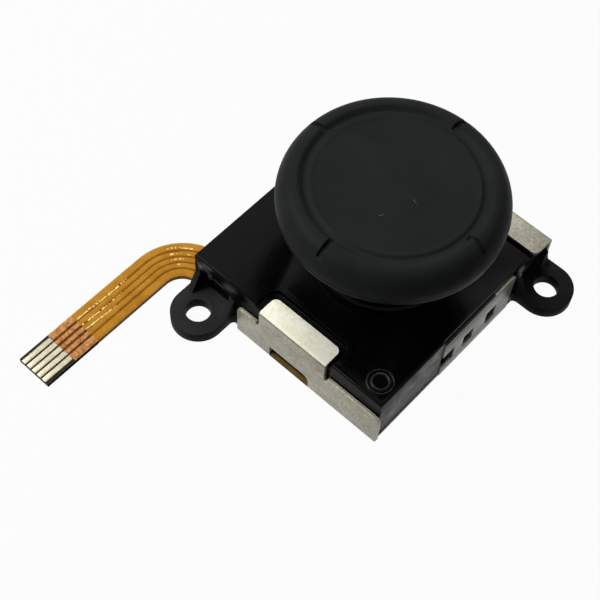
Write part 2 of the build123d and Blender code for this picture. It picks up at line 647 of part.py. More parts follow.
def lower_yoke():
    """The yoke that turns about X: a window frame on the pivot, two journals and an end arm."""
    z0, z1 = FRAME_LOW, PIVOT + FRAME_HALF_HEIGHT
    frame = block(-FRAME_HALF_X, FRAME_HALF_X, -FRAME_HALF_Y, FRAME_HALF_Y, z0, z1)
    frame = fillet(frame.edges().filter_by(Axis.Z), FRAME_ROUND)
    frame += rod_x(-BAR_END, BAR_END, BAR_RADIUS)
    inner = FRAME_HALF_X - FRAME_END
    side = HUB_HALF_Y + SIDE_PLAY
    frame -= block(-inner, inner, -side, side, 0, BODY_TOP)
    frame -= rod_y(-FRAME_HALF_Y - 1, FRAME_HALF_Y + 1, PIN_RADIUS + RUN)
    frame += rod_x(BAR_END - RUN, CAVITY_RIGHT - RUN, JOURNAL_RADIUS)
    return frame + Rot(0, 0, 180) * end_arm()


def upper_arch():
    """The arch that turns about Y over the hub, slotted for the stem, with journals and an end arm."""
    arch = rod_x(-ARCH_HALF, ARCH_HALF, ARCH_OUTER)
    arch -= rod_x(-ARCH_HALF - 1, ARCH_HALF + 1, ARCH_INNER)
    arch = arch & block(-ARCH_HALF, ARCH_HALF, -ARCH_OUTER, ARCH_OUTER, PIVOT, PIVOT + ARCH_OUTER)
    arch = arch & (Pos(0, 0, PIVOT) * Sphere(ARCH_OUTER + ARCH_CROWN))
    slot = STEM_TOP_RADIUS + SLOT_PLAY
    slot_end = ARCH_OUTER * sin(radians(FULL_TILT + ARCH_SLOT_EXTRA))
    arch -= block(-slot, slot, -slot_end, slot_end, PIVOT + 1, PIVOT + ARCH_OUTER + 1)
    for side in (-1, 1):
        y0, y1 = sorted((side * ARCH_INNER, side * (ARCH_OUTER + RUN)))
        boss = block(-ARCH_HALF, ARCH_HALF, y0, y1, PIVOT - BAR_RADIUS, PIVOT + BAR_RADIUS)
        arch += boss - rod_x(-ARCH_HALF - 1, ARCH_HALF + 1, ARCH_INNER)
        y0, y1 = sorted((side * ARCH_INNER, side * BAR_END))
        arch += rod_y(y0, y1, BAR_RADIUS) - rod_x(-1, 1, ARCH_INNER)
    arch += rod_y(BAR_END - RUN, CAVITY_BACK - (CAVITY_BACK - BEARING_OUT) / 2, JOURNAL_RADIUS)
    return arch + Rot(0, 0, 270) * end_arm()


def stem_hub():
    """The hub that leans about Y on its pins inside the lower yoke, bored for the stem."""
    hub = block(-HUB_HALF_X, HUB_HALF_X, -HUB_HALF_Y, HUB_HALF_Y, PIVOT + HUB_LOW, PIVOT + HUB_HIGH)
    hub = fillet(hub.edges().filter_by(Axis.Y), HUB_ROUND)
    hub -= post(0, 0, 0, BODY_TOP, STEM_RADIUS + RUN)
    return hub - rod_y(-HUB_HALF_Y - 1, HUB_HALF_Y + 1, PIN_RADIUS)


def hub_pins():
    """The two steel pins pressed into the hub."""
    inner = STEM_RADIUS + 3 * RUN
    ends = ((inner, FRAME_HALF_Y), (-FRAME_HALF_Y, -inner))
    return Compound(children=[rod_y(y0, y1, PIN_RADIUS) for y0, y1 in ends])


def stem():
    """The stem with its round tip, the shoulder over the hub and the post under the cap."""
    tip = post(0, 0, TIP_Z, PIVOT, STEM_RADIUS) & (Pos(0, 0, PIVOT) * Sphere(PIVOT - TIP_Z))
    body = tip + post(0, 0, PIVOT, PIVOT + SHOULDER, STEM_RADIUS)
    return body + post(0, 0, PIVOT + SHOULDER, STEM_TOP, STEM_TOP_RADIUS)


# The dust dome and the cap
def dust_dome():
    """The round skirt on the stem that closes the opening of the collar."""
    ball = Sphere(DOME_RADIUS) - Sphere(DOME_RADIUS - DOME_WALL)
    skirt = ball & block(-DOME_RADIUS, DOME_RADIUS, -DOME_RADIUS, DOME_RADIUS, DOME_EDGE, DOME_RADIUS)
    boss = post(0, 0, BOSS_LOW, DOME_RADIUS - DOME_WALL / 2, NECK_RADIUS)
    neck = post(0, 0, DOME_RADIUS - DOME_WALL / 2, DOME_RADIUS + NECK_STEP, NECK_RADIUS + NECK_STEP)
    skirt = Pos(0, 0, PIVOT) * (skirt + boss + neck)
    return skirt - post(0, 0, 0, BODY_TOP + DOME_RADIUS + 9, STEM_TOP_RADIUS)


def core_profile():
    """The outline of the cap core: neck, lower ring, throat and head."""
    low = PIVOT + DOME_RADIUS + NECK_STEP
    return [
        (0, low), (NECK_RADIUS, low), (NECK_RADIUS, CORE_RING_Z + CORE_RING_DISH),
        (CORE_RING_RADIUS - CORE_RING_LAND, CORE_RING_Z),
        (CORE_RING_RADIUS - CORE_RING_CHAMFER, CORE_RING_Z),
        (CORE_RING_RADIUS, CORE_RING_Z + CORE_RING_CHAMFER), (CORE_RING_RADIUS, CAP_BOTTOM_Z),
        (CORE_THROAT_RADIUS, CAP_BOTTOM_Z), (CORE_THROAT_RADIUS, CORE_HEAD_BOTTOM - CORE_HEAD_SLOPE),
        (CORE_HEAD_RADIUS, CORE_HEAD_BOTTOM), (CORE_HEAD_RADIUS, CORE_HEAD_TOP), (0, CORE_HEAD_TOP),
    ]


def cap_core():
    """The stiff core of the cap, pressed on the stem."""
    return spun(core_profile()) - post(0, 0, 0, STEM_TOP, STEM_TOP_RADIUS)


def shoulder_meeting(rise):
    """Where the two arcs of the shoulder meet, for the crest's height over the widest place."""
    big = CAP_SHOULDER_RADIUS
    inset = CAP_CREST_INSET
    small = (2 * big * inset - inset ** 2 - rise ** 2) / (2 * (big - rise))
    dx, dz = big - inset, rise - small
    far = big / (big - small)
    return CAP_RADIUS - big + dx * far, CAP_WIDE_Z + dz * far


def cap_outline():
    """The closed outline of the rubber cap, as lines and arcs of radius and height."""
    bottom = (CAP_BOTTOM_RADIUS, CAP_BOTTOM_Z)
    wide = (CAP_RADIUS, CAP_WIDE_Z)
    crest = (CAP_CREST_RADIUS, CAP_CREST_Z)
    edge = (CAP_DISC_RADIUS, CAP_DISC_Z + CAP_STEP)
    disc = (CAP_DISC_RADIUS, CAP_DISC_Z)
    centre = (0, CAP_DISC_Z - CAP_DISH)
    side = TangentArc(wide, bottom, tangent=(0, -1))
    lower = TangentArc(wide, shoulder_meeting(CAP_CREST_Z - CAP_WIDE_Z), tangent=(0, 1))
    upper = TangentArc(crest, lower @ 1, tangent=(1, 0))
    inner = TangentArc(crest, edge, tangent=(-1, 0))
    dish = TangentArc(centre, disc, tangent=(1, 0))
    return side + lower + upper + inner + Line(edge, disc) + dish + Polyline(centre, (0, CAP_BOTTOM_Z), bottom)


def thumb_cap():
    """The moulded rubber cap with four narrow notches in its rim."""
    cap = revolve(Plane.XZ * make_face(cap_outline()), Axis.Z) - spun(core_profile())
    for angle in (0, 90, 180, 270):
        half = NOTCH_WIDTH / 2
        x0, x1 = CAP_DISC_RADIUS - NOTCH_START, CAP_RADIUS + 1
        notch = block(x0, x1, -half, half, CAP_DISC_Z - NOTCH_DEPTH, CAP_CREST_Z + 1)
        cap -= Rot(0, 0, angle) * notch
    return cap


# The sliders and wipers
def slider(angle):
    """A slider block with a slot for an end arm, for the side of the stick at the given angle."""
    x0, x1 = BEARING_OUT + SLIDER_GAP, ARM_OUT + SLIDER_OUT
    body = block(x0, x1, -SLIDER_HALF, SLIDER_HALF, SLIDER_FLOOR, SLIDER_TOP)
    body = fillet(body.edges().filter_by(Axis.Z), SLIDER_ROUND)
    half = ARM_TIP_RADIUS + SLIDER_PLAY
    floor = PIVOT - ARM_LENGTH - ARM_TIP_RADIUS - SLIDER_PLAY
    body -= block(x0 - 1, x1 + 1, -half, half, floor, SLIDER_TOP + 1)
    return Rot(0, 0, angle) * body


def wiper(angle):
    """The sheet metal wiper under a slider, with two bent contact fingers."""
    middle = ARM_IN + ARM_WIDTH / 2
    half = TRACK_WIDTH / 2
    length = SLIDER_HALF - WIPER
    plate = block(middle - half, middle + half, -length, length, SLIDER_FLOOR - WIPER, SLIDER_FLOOR)
    touch = TRACK_TOP + CONTACT_GAP
    for side in (-1, 1):
        strip = (TRACK_WIDTH - TRACK_GAP) / 2
        x = middle + side * (strip + TRACK_GAP) / 2
        outline = Polyline((WIPER_REACH, SLIDER_FLOOR - WIPER), (0, touch), (-WIPER, touch),
                           (WIPER_REACH - 2 * WIPER, SLIDER_FLOOR - WIPER), close=True)
        finger = extrude(Plane.YZ * make_face(outline), strip / 2, both=True)
        plate += Pos(x, 0, 0) * finger
    return Rot(0, 0, angle) * plate


def main():
    """Write one STEP file for each piece."""
    pieces = {
        "base_plate": base_plate(),
        "housing": housing(),
        "flex_circuit": flex_circuit(),
        "adhesive_sheet": adhesive_sheet(),
        "contact_stiffener": contact_stiffener(),
        "contact_fingers": contact_fingers(),
        "carbon_track_x": carbon_track(270),
        "carbon_track_y": carbon_track(180),
        "click_contact": click_contact(),
        "click_dome": click_dome(),
        "dome_film": dome_film(),
        "return_spring": return_spring(),
        "lower_yoke": lower_yoke(),
        "upper_arch": upper_arch(),
        "stem_hub": stem_hub(),
        "hub_pins": hub_pins(),
        "stem": stem(),
        "dust_dome": dust_dome(),
        "cap_core": cap_core(),
        "thumb_cap": thumb_cap(),
        "slider_x": slider(270),
        "slider_y": slider(180),
        "wiper_x": wiper(270),
        "wiper_y": wiper(180),
    }
    os.makedirs("parts", exist_ok=True)
    for name, piece in pieces.items():
        export_step(piece, f"parts/{name}.step")


main()
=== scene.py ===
"""Dresses the thumbstick module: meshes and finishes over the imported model, in metres.

Sizes in the classes are in millimetres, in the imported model's own frame, and are turned into metres
where a mesh is made. The stick stands on +Z, and the wide front wall of the base plate is at -Y.
"""

import logging
import math
from dataclasses import dataclass
from enum import Enum
from functools import cache
from typing import Callable, Iterable, Optional, Sequence

import bmesh
import bpy
from mathutils import Matrix, Vector, noise


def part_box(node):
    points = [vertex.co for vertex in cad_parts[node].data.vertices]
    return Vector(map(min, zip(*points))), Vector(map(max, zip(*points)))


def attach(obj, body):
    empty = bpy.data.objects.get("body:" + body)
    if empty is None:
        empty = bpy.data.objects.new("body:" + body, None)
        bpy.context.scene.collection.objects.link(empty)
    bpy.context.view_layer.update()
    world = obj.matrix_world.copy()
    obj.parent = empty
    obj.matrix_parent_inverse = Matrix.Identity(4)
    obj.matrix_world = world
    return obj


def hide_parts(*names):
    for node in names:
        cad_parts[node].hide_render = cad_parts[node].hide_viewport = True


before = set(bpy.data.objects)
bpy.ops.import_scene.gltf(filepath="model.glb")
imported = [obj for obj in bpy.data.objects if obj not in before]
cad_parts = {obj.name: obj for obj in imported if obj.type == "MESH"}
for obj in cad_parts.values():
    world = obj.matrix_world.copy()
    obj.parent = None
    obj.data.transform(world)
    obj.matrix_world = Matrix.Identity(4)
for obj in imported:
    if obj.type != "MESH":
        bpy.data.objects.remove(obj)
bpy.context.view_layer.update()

MM = 0.001
PHOTO_SIDE = 600
SENSOR = 36.0
WELD = 0.0004 * MM
FLAT_DEGREES = 0.6
ON_AXIS = 1e-6
X_AXIS = (1.0, 0.0, 0.0)
Y_AXIS = (0.0, 1.0, 0.0)

Point = tuple[float, float]
Triple = tuple[float, float, float]
Face = bpy.types.MeshPolygon
Mesh = bpy.types.Mesh
Socket = bpy.types.NodeSocket
Tree = bpy.types.NodeTree
Vert = bmesh.types.BMVert
Work = bmesh.types.BMesh

log = logging.getLogger("thumbstick")


class Body(Enum):
    """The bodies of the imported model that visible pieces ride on."""

    BASE = "base"
    STICK = "stick"


class Slot(Enum):
    """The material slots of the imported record."""

    PLATE = "plated_steel"
    HOUSING = "black_housing"
    FLEX = "polyimide"
    GOLD = "gold_contacts"
    CORE = "black_core"
    CAP = "cap_rubber"


# Finishes
def add_node(tree: Tree, kind: str, **inputs: object) -> bpy.types.Node:
    """Add a shader node.

    Args:
        tree: The tree that it goes into.
        kind: Its kind.
        inputs: Values or sources of its inputs, their names written with underscores.

    Returns:
        The node.
    """
    node = tree.nodes.new("ShaderNode" + kind)
    for name, value in inputs.items():
        socket = node.inputs[name.replace("_", " ")]
        if isinstance(value, Socket):
            tree.links.new(value, socket)
        else:
            socket.default_value = value
    return node


class NodeBench:
    """A material being made: its shader and short calls for the nodes that feed it."""

    noise_low: float = 0.3
    noise_high: float = 0.7

    def __init__(self, name: str) -> None:
        """Start an empty material.

        Args:
            name: The material's name.
        """
        self.material = bpy.data.materials.new(name)
        self.material.use_nodes = True
        self.tree = self.material.node_tree
        self.shader = self.tree.nodes["Principled BSDF"]
        self.place = add_node(self.tree, "TexCoord").outputs["Object"]

    def set(self, socket_name: str, value: float) -> None:
        """Set a socket of the shader."""
        self.shader.inputs[socket_name].default_value = value

    def feed(self, socket_name: str, source: Socket) -> None:
        """Link a source to a socket of the shader."""
        self.tree.links.new(source, self.shader.inputs[socket_name])

    def noise(self, per_mm: float, detail: float, stretch: Triple = (1.0, 1.0, 1.0)) -> Socket:
        """A noise over the object, with so many blotches on a millimetre and so many finer layers."""
        place = add_node(self.tree, "Mapping", Vector=self.place, Scale=stretch).outputs["Vector"]
        return add_node(self.tree, "TexNoise", Vector=place, Scale=per_mm / MM, Detail=detail).outputs["Fac"]

    def between(self, source: Socket, low: float, high: float) -> Socket:
        """Map the middle of a noise onto the range from low to high."""
        ends = {"From_Min": self.noise_low, "From_Max": self.noise_high, "To_Min": low, "To_Max": high}
        return add_node(self.tree, "MapRange", Value=source, **ends).outputs["Result"]

    def tint(self, source: Socket, *stops: tuple[float, Triple]) -> Socket:
        """Turn a value into colours.

        Args:
            source: The value.
            stops: Two places from 0 to 1 with their colours.

        Returns:
            The colour socket.
        """
        node = add_node(self.tree, "ValToRGB", Fac=source)
        for element, (place, colour) in zip(node.color_ramp.elements, stops):
            element.position = place
            element.color = (*colour, 1.0)
        return node.outputs["Color"]

    def mixed(self, share: Socket, first: Socket, second: Socket) -> Socket:
        """Mix two colours.

        Args:
            share: How much of the second shows.
            first: The first colour.
            second: The second colour.

        Returns:
            The mixed colour's socket.
        """
        node = add_node(self.tree, "Mix")
        node.data_type = "RGBA"
        for number, source in ((0, share), (6, first), (7, second)):
            self.tree.links.new(source, node.inputs[number])
        return node.outputs[2]

    def rough_skin(self, source: Socket, depth_mm: float, strength: float) -> None:
        """Add a bump that is so deep at full height, in millimetres, and shows with a strength."""
        node = add_node(self.tree, "Bump", Height=source, Strength=strength, Distance=depth_mm * MM)
        self.feed("Normal", node.outputs["Normal"])


@dataclass(frozen=True)
class Moulded:
    """Dyed plastic or rubber with a fine skin and slightly uneven gloss."""

    name: str
    dark: Triple
    pale: Triple
    rough_low: float
    rough_high: float
    specular: float
    grain_per_mm: float
    grain_mm: float
    grain_strength: float = 0.4
    blotch_per_mm: float = 0.35

    def make(self) -> bpy.types.Material:
        """Make the material.

        Returns:
            The material.
        """
        bench = NodeBench(self.name)
        blotches = bench.noise(self.blotch_per_mm, detail=4.0)
        gloss = bench.noise(self.blotch_per_mm * 3, detail=5.0)
        bench.feed("Base Color", bench.tint(blotches, (0.35, self.dark), (0.65, self.pale)))
        bench.feed("Roughness", bench.between(gloss, self.rough_low, self.rough_high))
        bench.rough_skin(bench.noise(self.grain_per_mm, detail=2.0), self.grain_mm, self.grain_strength)
        bench.set("Specular IOR Level", self.specular)
        return bench.material


@dataclass(frozen=True)
class Plated:
    """Metal with a dull plating: cloudy colour, specks, uneven gloss and fine rolling lines."""

    name: str
    dark: Triple
    pale: Triple
    rough_low: float
    rough_high: float
    cloud_per_mm: float = 0.8
    line_per_mm: float = 9.0
    line_mm: float = 0.004
    stretch: Triple = (0.15, 1.0, 1.0)
    metallic: float = 1.0
    speck_dark: Triple = (0.30, 0.27, 0.17)
    speck_pale: Triple = (0.62, 0.60, 0.54)
    speck_per_mm: float = 3.5
    speck_share: float = 0.0
    line_strength: float = 0.35

    def make(self) -> bpy.types.Material:
        """Make the material.

        Returns:
            The material.
        """
        bench = NodeBench(self.name)
        colour = bench.tint(bench.noise(self.cloud_per_mm, detail=6.0), (0.35, self.dark), (0.62, self.pale))
        if self.speck_share:
            specks = bench.noise(self.speck_per_mm, detail=5.0)
            patches = bench.noise(self.speck_per_mm * 0.3, detail=3.0)
            share = bench.between(patches, 0.2 * self.speck_share, self.speck_share)
            tinted = bench.tint(specks, (0.40, self.speck_dark), (0.60, self.speck_pale))
            colour = bench.mixed(share, colour, tinted)
        bench.feed("Base Color", colour)
        gloss = bench.noise(self.cloud_per_mm * 2.5, detail=5.0)
        bench.feed("Roughness", bench.between(gloss, self.rough_low, self.rough_high))
        lines = bench.noise(self.line_per_mm, detail=4.0, stretch=self.stretch)
        bench.rough_skin(lines, self.line_mm, self.line_strength)
        bench.set("Metallic", self.metallic)
        return bench.material


@dataclass(frozen=True)
class Film:
    """Thin film over copper or board, with a cloudy colour and soft ripples."""

    name: str
    dark: Triple
    pale: Triple
    roughness: float
    cloud_per_mm: float = 1.2
    ripple_mm: float = 0.006
    specular: float = 0.06
    ripple_strength: float = 0.5

    def make(self) -> bpy.types.Material:
        """Make the material.

        Returns:
            The material.
        """
        bench = NodeBench(self.name)
        clouds = bench.noise(self.cloud_per_mm, detail=4.0)
        gloss = bench.noise(3.0, detail=3.0)
        bench.feed("Base Color", bench.tint(clouds, (0.32, self.dark), (0.68, self.pale)))
        bench.feed("Roughness", bench.between(gloss, self.roughness * 0.8, self.roughness * 1.25))
        bench.rough_skin(bench.noise(2.2, detail=2.0), self.ripple_mm, self.ripple_strength)
        bench.set("Specular IOR Level", self.specular)
        return bench.material


Finish = Moulded | Plated | Film

DEEP_BLACK = ((0.0008, 0.0008, 0.0009), (0.0020, 0.0020, 0.0021))
RUBBER = Moulded(
    "cap_skin", (0.0117, 0.0129, 0.0126), (0.0142, 0.0156, 0.0151), 0.44, 0.54, 0.026, 16.0, 0.006, 0.45,
)
HOUSING_BLACK = Moulded("housing_skin", *DEEP_BLACK, 0.20, 0.30, 0.044, 1.8, 0.014, 0.6)
# Painted highlight: a lighter black for the housing's softened edges and the tops of the ring mark's lip and
# button, standing in for the light they catch.
HOUSING_EDGE_HIGHLIGHT = Moulded(
    "housing_edge_highlight", (0.014, 0.0142, 0.0146), (0.060, 0.061, 0.063), 0.22, 0.32, 0.20, 4.0, 0.006,
    blotch_per_mm=0.9,
)
HOUSING_SIDE = Moulded("housing_side", *DEEP_BLACK, 0.24, 0.40, 0.032, 1.8, 0.014, 0.8)
# Painted light: a lighter, matt copy of the housing black, standing in for the light on the ears' tops; the web
# and the pocket walls behind the side windows share it.
EAR_LIT_BLACK = Moulded(
    "ear_lit_skin", (0.0185, 0.0196, 0.0190), (0.0265, 0.0282, 0.0274), 0.45, 0.60, 0.016, 3.0, 0.012, 0.6,
)
CATCH_BLACK = Moulded("catch_skin", *DEEP_BLACK, 0.60, 0.75, 0.005, 3.0, 0.004)
CORE_BLACK = Moulded(
    "core_skin", (0.0015, 0.0022, 0.0026), (0.0030, 0.0040, 0.0046), 0.34, 0.40, 0.034, 8.0, 0.003, 0.3,
)
TIN = Plated(
    "tin_plate", (0.28, 0.27, 0.22), (0.41, 0.39, 0.32), 0.36, 0.48, metallic=0.3,
    speck_dark=(0.27, 0.25, 0.12), speck_pale=(0.60, 0.54, 0.45), speck_per_mm=6.0, speck_share=0.60,
)
# Painted shade: a darker copy of the tin for the side plate and the fold of the front tab, which lie in shade.
TIN_SHADE = Plated(
    "tin_shade", (0.06, 0.058, 0.050), (0.24, 0.23, 0.21), 0.36, 0.48, 0.35, metallic=0.3,
    speck_dark=(0.09, 0.08, 0.06), speck_pale=(0.28, 0.27, 0.24), speck_per_mm=6.0, speck_share=0.5,
)
# Painted shadow: near-black tin on the top of the side plate's cut edge, where the housing overhangs it.
TIN_CUT_SHADOW = Plated("tin_cut_shadow", (0.004, 0.004, 0.004), (0.016, 0.015, 0.013), 0.45, 0.60, metallic=0.3)
# Painted light: a near-white copy of the tin for the top of the front tab, standing in for the light that falls
# on it.
TIN_LIT_TOP = Plated(
    "tin_lit_top", (0.95, 0.90, 0.66), (0.99, 0.97, 0.82), 0.40, 0.52, metallic=0.0,
    speck_dark=(0.68, 0.56, 0.26), speck_pale=(0.99, 0.98, 0.90), speck_per_mm=4.5, speck_share=0.40,
)
CONTACT_GOLD = Plated(
    "contact_gold", (0.42, 0.37, 0.25), (0.52, 0.47, 0.33), 0.30, 0.42, 2.0, 14.0, 0.001,
    stretch=(1.0, 0.12, 1.0), metallic=0.25,
)
BAND = Film("amber_band", (0.39, 0.165, 0.009), (0.49, 0.225, 0.022), 0.20, specular=0.045)
LINE = Film("amber_line", (0.20, 0.075, 0.004), (0.27, 0.105, 0.008), 0.25, specular=0.04)
COPPER_BAND = Film("copper_band", (0.32, 0.11, 0.016), (0.64, 0.32, 0.13), 0.26, 4.0, 0.012)
COPPER_LINE = Film("copper_line", (0.06, 0.016, 0.002), (0.18, 0.06, 0.008), 0.30, 3.2, specular=0.04)
# Painted highlight: pale glossy colour for the glints on the tail's ridges.
GLINT = Film("film_glint", (0.78, 0.50, 0.12), (0.92, 0.74, 0.32), 0.30, 3.0, 0.001, 0.05)
# Painted shade: a darker copy of the amber film for the lip's front strip in the slot.
LIP_SHADED_AMBER = Film("lip_shaded_amber", (0.13, 0.080, 0.020), (0.19, 0.118, 0.033), 0.50, specular=0.01)
# Near-black board seen between the contact fingers; on the film behind the lip in the slot the same colour is
# painted shade.
FINGER_GAP_AND_SLOT_SHADE = Film("finger_gap_and_slot_shade", (0.012, 0.009, 0.005), (0.030, 0.022, 0.012), 0.45, 2.0)
FILM_EDGE = Film("film_edge", (0.24, 0.10, 0.014), (0.36, 0.16, 0.028), 0.40, 2.0)
BOARD = Moulded("stiffener_board", (0.014, 0.012, 0.008), (0.030, 0.024, 0.014), 0.40, 0.55, 0.12, 9.0, 0.004)
TAPE = Moulded("clear_tape", (0.60, 0.57, 0.50), (0.72, 0.70, 0.62), 0.35, 0.5, 0.4, 4.0, 0.003)
CARBON = Moulded("printed_carbon", (0.012, 0.012, 0.012), (0.022, 0.022, 0.022), 0.55, 0.75, 0.3, 12.0, 0.004)
SPRING = Plated("spring_steel", (0.42, 0.42, 0.42), (0.58, 0.58, 0.58), 0.22, 0.34, 1.5, 12.0, 0.002)
ACETAL = Moulded("natural_acetal", (0.62, 0.60, 0.54), (0.72, 0.70, 0.65), 0.32, 0.45, 0.5, 6.0, 0.004)
BLACK_ACETAL = Moulded(
    "black_acetal", (0.006, 0.006, 0.007), (0.012, 0.012, 0.013), 0.32, 0.45, 0.4, 6.0, 0.004,
)
SNAP_FILM = Moulded("snap_film", (0.55, 0.53, 0.45), (0.68, 0.66, 0.58), 0.20, 0.32, 0.5, 3.0, 0.003)
LINT = Moulded("lint", (0.09, 0.09, 0.088), (0.15, 0.15, 0.146), 0.7, 0.9, 0.05, 20.0, 0.004)


@cache
def made(finish: Finish) -> bpy.types.Material:
    """The material of a finish, made at its first use."""
    return finish.make()


# Shared mesh work
def arc(centre: Point, radius: float, start: float, end: float, steps: int) -> list[Point]:
    """Points along an arc from a first to a last angle in degrees, both ends among them."""
    angles = [math.radians(start + (end - start) * i / steps) for i in range(steps + 1)]
    return [(centre[0] + radius * math.cos(a), centre[1] + radius * math.sin(a)) for a in angles]


def ease(value: float, low: float = 0.0, high: float = 1.0) -> float:
    """A smooth step from 0 at low to 1 at high."""
    t = min(max((value - low) / (high - low), 0.0), 1.0)
    return t * t * (3.0 - 2.0 * t)


def even_angles(count: int) -> list[float]:
    """Angles that share a full turn evenly, in radians."""
    return [math.tau * i / count for i in range(count)]


def opened(mesh: Mesh) -> Work:
    """Open a mesh for editing.

    Args:
        mesh: The mesh.

    Returns:
        The open work.
    """
    work = bmesh.new()
    work.from_mesh(mesh)
    return work


def store(work: Work, mesh: Mesh, turn_out: bool = False) -> Mesh:
    """Write work into a mesh and close it.

    Args:
        work: The open work.
        mesh: The mesh that takes it.
        turn_out: Whether its faces are turned outward first.

    Returns:
        The same mesh.
    """
    if turn_out:
        bmesh.ops.recalc_face_normals(work, faces=work.faces)
    work.to_mesh(mesh)
    work.free()
    return mesh


def weld(work: Work) -> None:
    """Join points that lie on each other."""
    bmesh.ops.remove_doubles(work, verts=work.verts, dist=WELD)


def cut(work: Work, axis: Triple, place: float, clear_low: bool = False) -> None:
    """Cut a mesh through across an axis.

    Args:
        work: The open work.
        axis: The axis.
        place: Where on the axis the cut is, in millimetres.
        clear_low: Whether what lies before the cut is deleted.
    """
    parts = [*work.verts, *work.edges, *work.faces]
    middle = Vector(axis) * (place * MM)
    bmesh.ops.bisect_plane(work, geom=parts, plane_co=middle, plane_no=axis, clear_inner=clear_low)


def span(work: Work, first: Sequence, second: Sequence) -> None:
    """Make the faces between two rings.

    Args:
        work: The open work.
        first: One ring of points, or a single point.
        second: The other ring, or a single point.
    """
    for i in range(max(len(first), len(second))):
        corners = [first[i % len(first)], first[(i + 1) % len(first)]]
        corners += [second[(i + 1) % len(second)], second[i % len(second)]]
        kept = list(dict.fromkeys(corners))
        if len(kept) > 2:
            work.faces.new(kept)


def smooth(mesh: Mesh, sharp_over: float = 40.0) -> None:
    """Shade a mesh smooth apart from edges over an angle in degrees."""
    mesh.polygons.foreach_set("use_smooth", [True] * len(mesh.polygons))
    mesh.set_sharp_from_angle(angle=math.radians(sharp_over))


def dress(mesh: Mesh, *finishes: Finish) -> Mesh:
    """Give a mesh its materials.

    Args:
        mesh: The mesh.
        finishes: A finish for each of its material slots.

    Returns:
        The same mesh.
    """
    for finish in finishes:
        mesh.materials.append(made(finish))
    return mesh


def add_piece(mesh: Mesh, body: Body, node: str = "") -> None:
    """Put a mesh in the scene on a body, as a piece of the same name.

    Args:
        mesh: The mesh, in metres, with its materials.
        body: The body that it rides on.
        node: The node that it stands for.
    """
    piece = bpy.data.objects.new(mesh.name, mesh)
    bpy.context.scene.collection.objects.link(piece)
    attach(piece, body.value)
    if node:
        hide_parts(node)
    log.info("%s: %d faces", piece.name, len(mesh.polygons))


@dataclass
class Lathe:
    """A closed solid turned about Z from an outline of (radius, height) points in millimetres."""

    name: str
    outline: list[Point]
    angles: list[float]
    shift: Optional[Callable[[float, float, float], float]] = None
    hollow: bool = False

    def mesh(self) -> Mesh:
        """Build the solid. A hollow one has an outline that ends where it starts.

        Returns:
            Its mesh, in metres.
        """
        work = bmesh.new()
        rings = [self._ring(work, radius, height) for radius, height in self.outline]
        for first, second in zip(rings, rings[1:]):
            span(work, first, second)
        if self.hollow:
            weld(work)
        return store(work, bpy.data.meshes.new(self.name), turn_out=True)

    def _ring(self, work: Work, radius: float, height: float) -> list[Vert]:
        """Make one ring of points, or a single point on the axis.

        Args:
            work: The open work.
            radius: The ring's radius.
            height: Its height.

        Returns:
            Its points.
        """
        if radius < ON_AXIS:
            return [work.verts.new((0.0, 0.0, height * MM))]
        ring = []
        for angle in self.angles:
            z = height + (self.shift(radius, height, angle) if self.shift else 0.0)
            x, y = radius * MM * math.cos(angle), radius * MM * math.sin(angle)
            ring.append(work.verts.new((x, y, z * MM)))
        return ring


@dataclass
class CadCopy:
    """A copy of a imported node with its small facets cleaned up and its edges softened."""

    node: str
    name: str
    round_mm: float
    edit: Optional[Callable[[Mesh], None]] = None
    finishes: tuple[Finish, ...] = ()
    sharp_over: float = 32.0
    crease_over: float = 50.0

    def mesh(self) -> Mesh:
        """Build the softened copy. Its second finish, if it has one, goes on the softened edges.

        Returns:
            Its mesh, in metres.
        """
        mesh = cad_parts[self.node].data.copy()
        mesh.materials.clear()
        if mesh.has_custom_normals:
            mesh.attributes.remove(mesh.attributes["custom_normal"])
        if self.edit:
            self.edit(mesh)
        work = opened(mesh)
        weld(work)
        flat = math.radians(FLAT_DEGREES)
        bmesh.ops.dissolve_limit(work, angle_limit=flat, verts=work.verts, edges=work.edges)
        return self._softened(dress(store(work, mesh), *self.finishes))

    def _softened(self, mesh: Mesh) -> Mesh:
        """Run a bevel over the sharp edges.

        Args:
            mesh: The cleaned mesh.

        Returns:
            A mesh of its own.
        """
        carrier = bpy.data.objects.new(self.name + "_carrier", mesh)
        bpy.context.scene.collection.objects.link(carrier)
        bevel = carrier.modifiers.new("edge", "BEVEL")
        bevel.width = self.round_mm * MM
        bevel.segments = 2
        bevel.limit_method = "ANGLE"
        bevel.angle_limit = math.radians(self.sharp_over)
        bevel.use_clamp_overlap = True
        # The softened edges take the second finish, which on the housing is a painted highlight.
        if len(self.finishes) > 1:
            bevel.material = 1
        bpy.context.view_layer.update()
        result = bpy.data.meshes.new_from_object(carrier.evaluated_get(bpy.context.evaluated_depsgraph_get()))
        result.name = self.name
        bpy.data.objects.remove(carrier)
        smooth(result, self.crease_over)
        return result


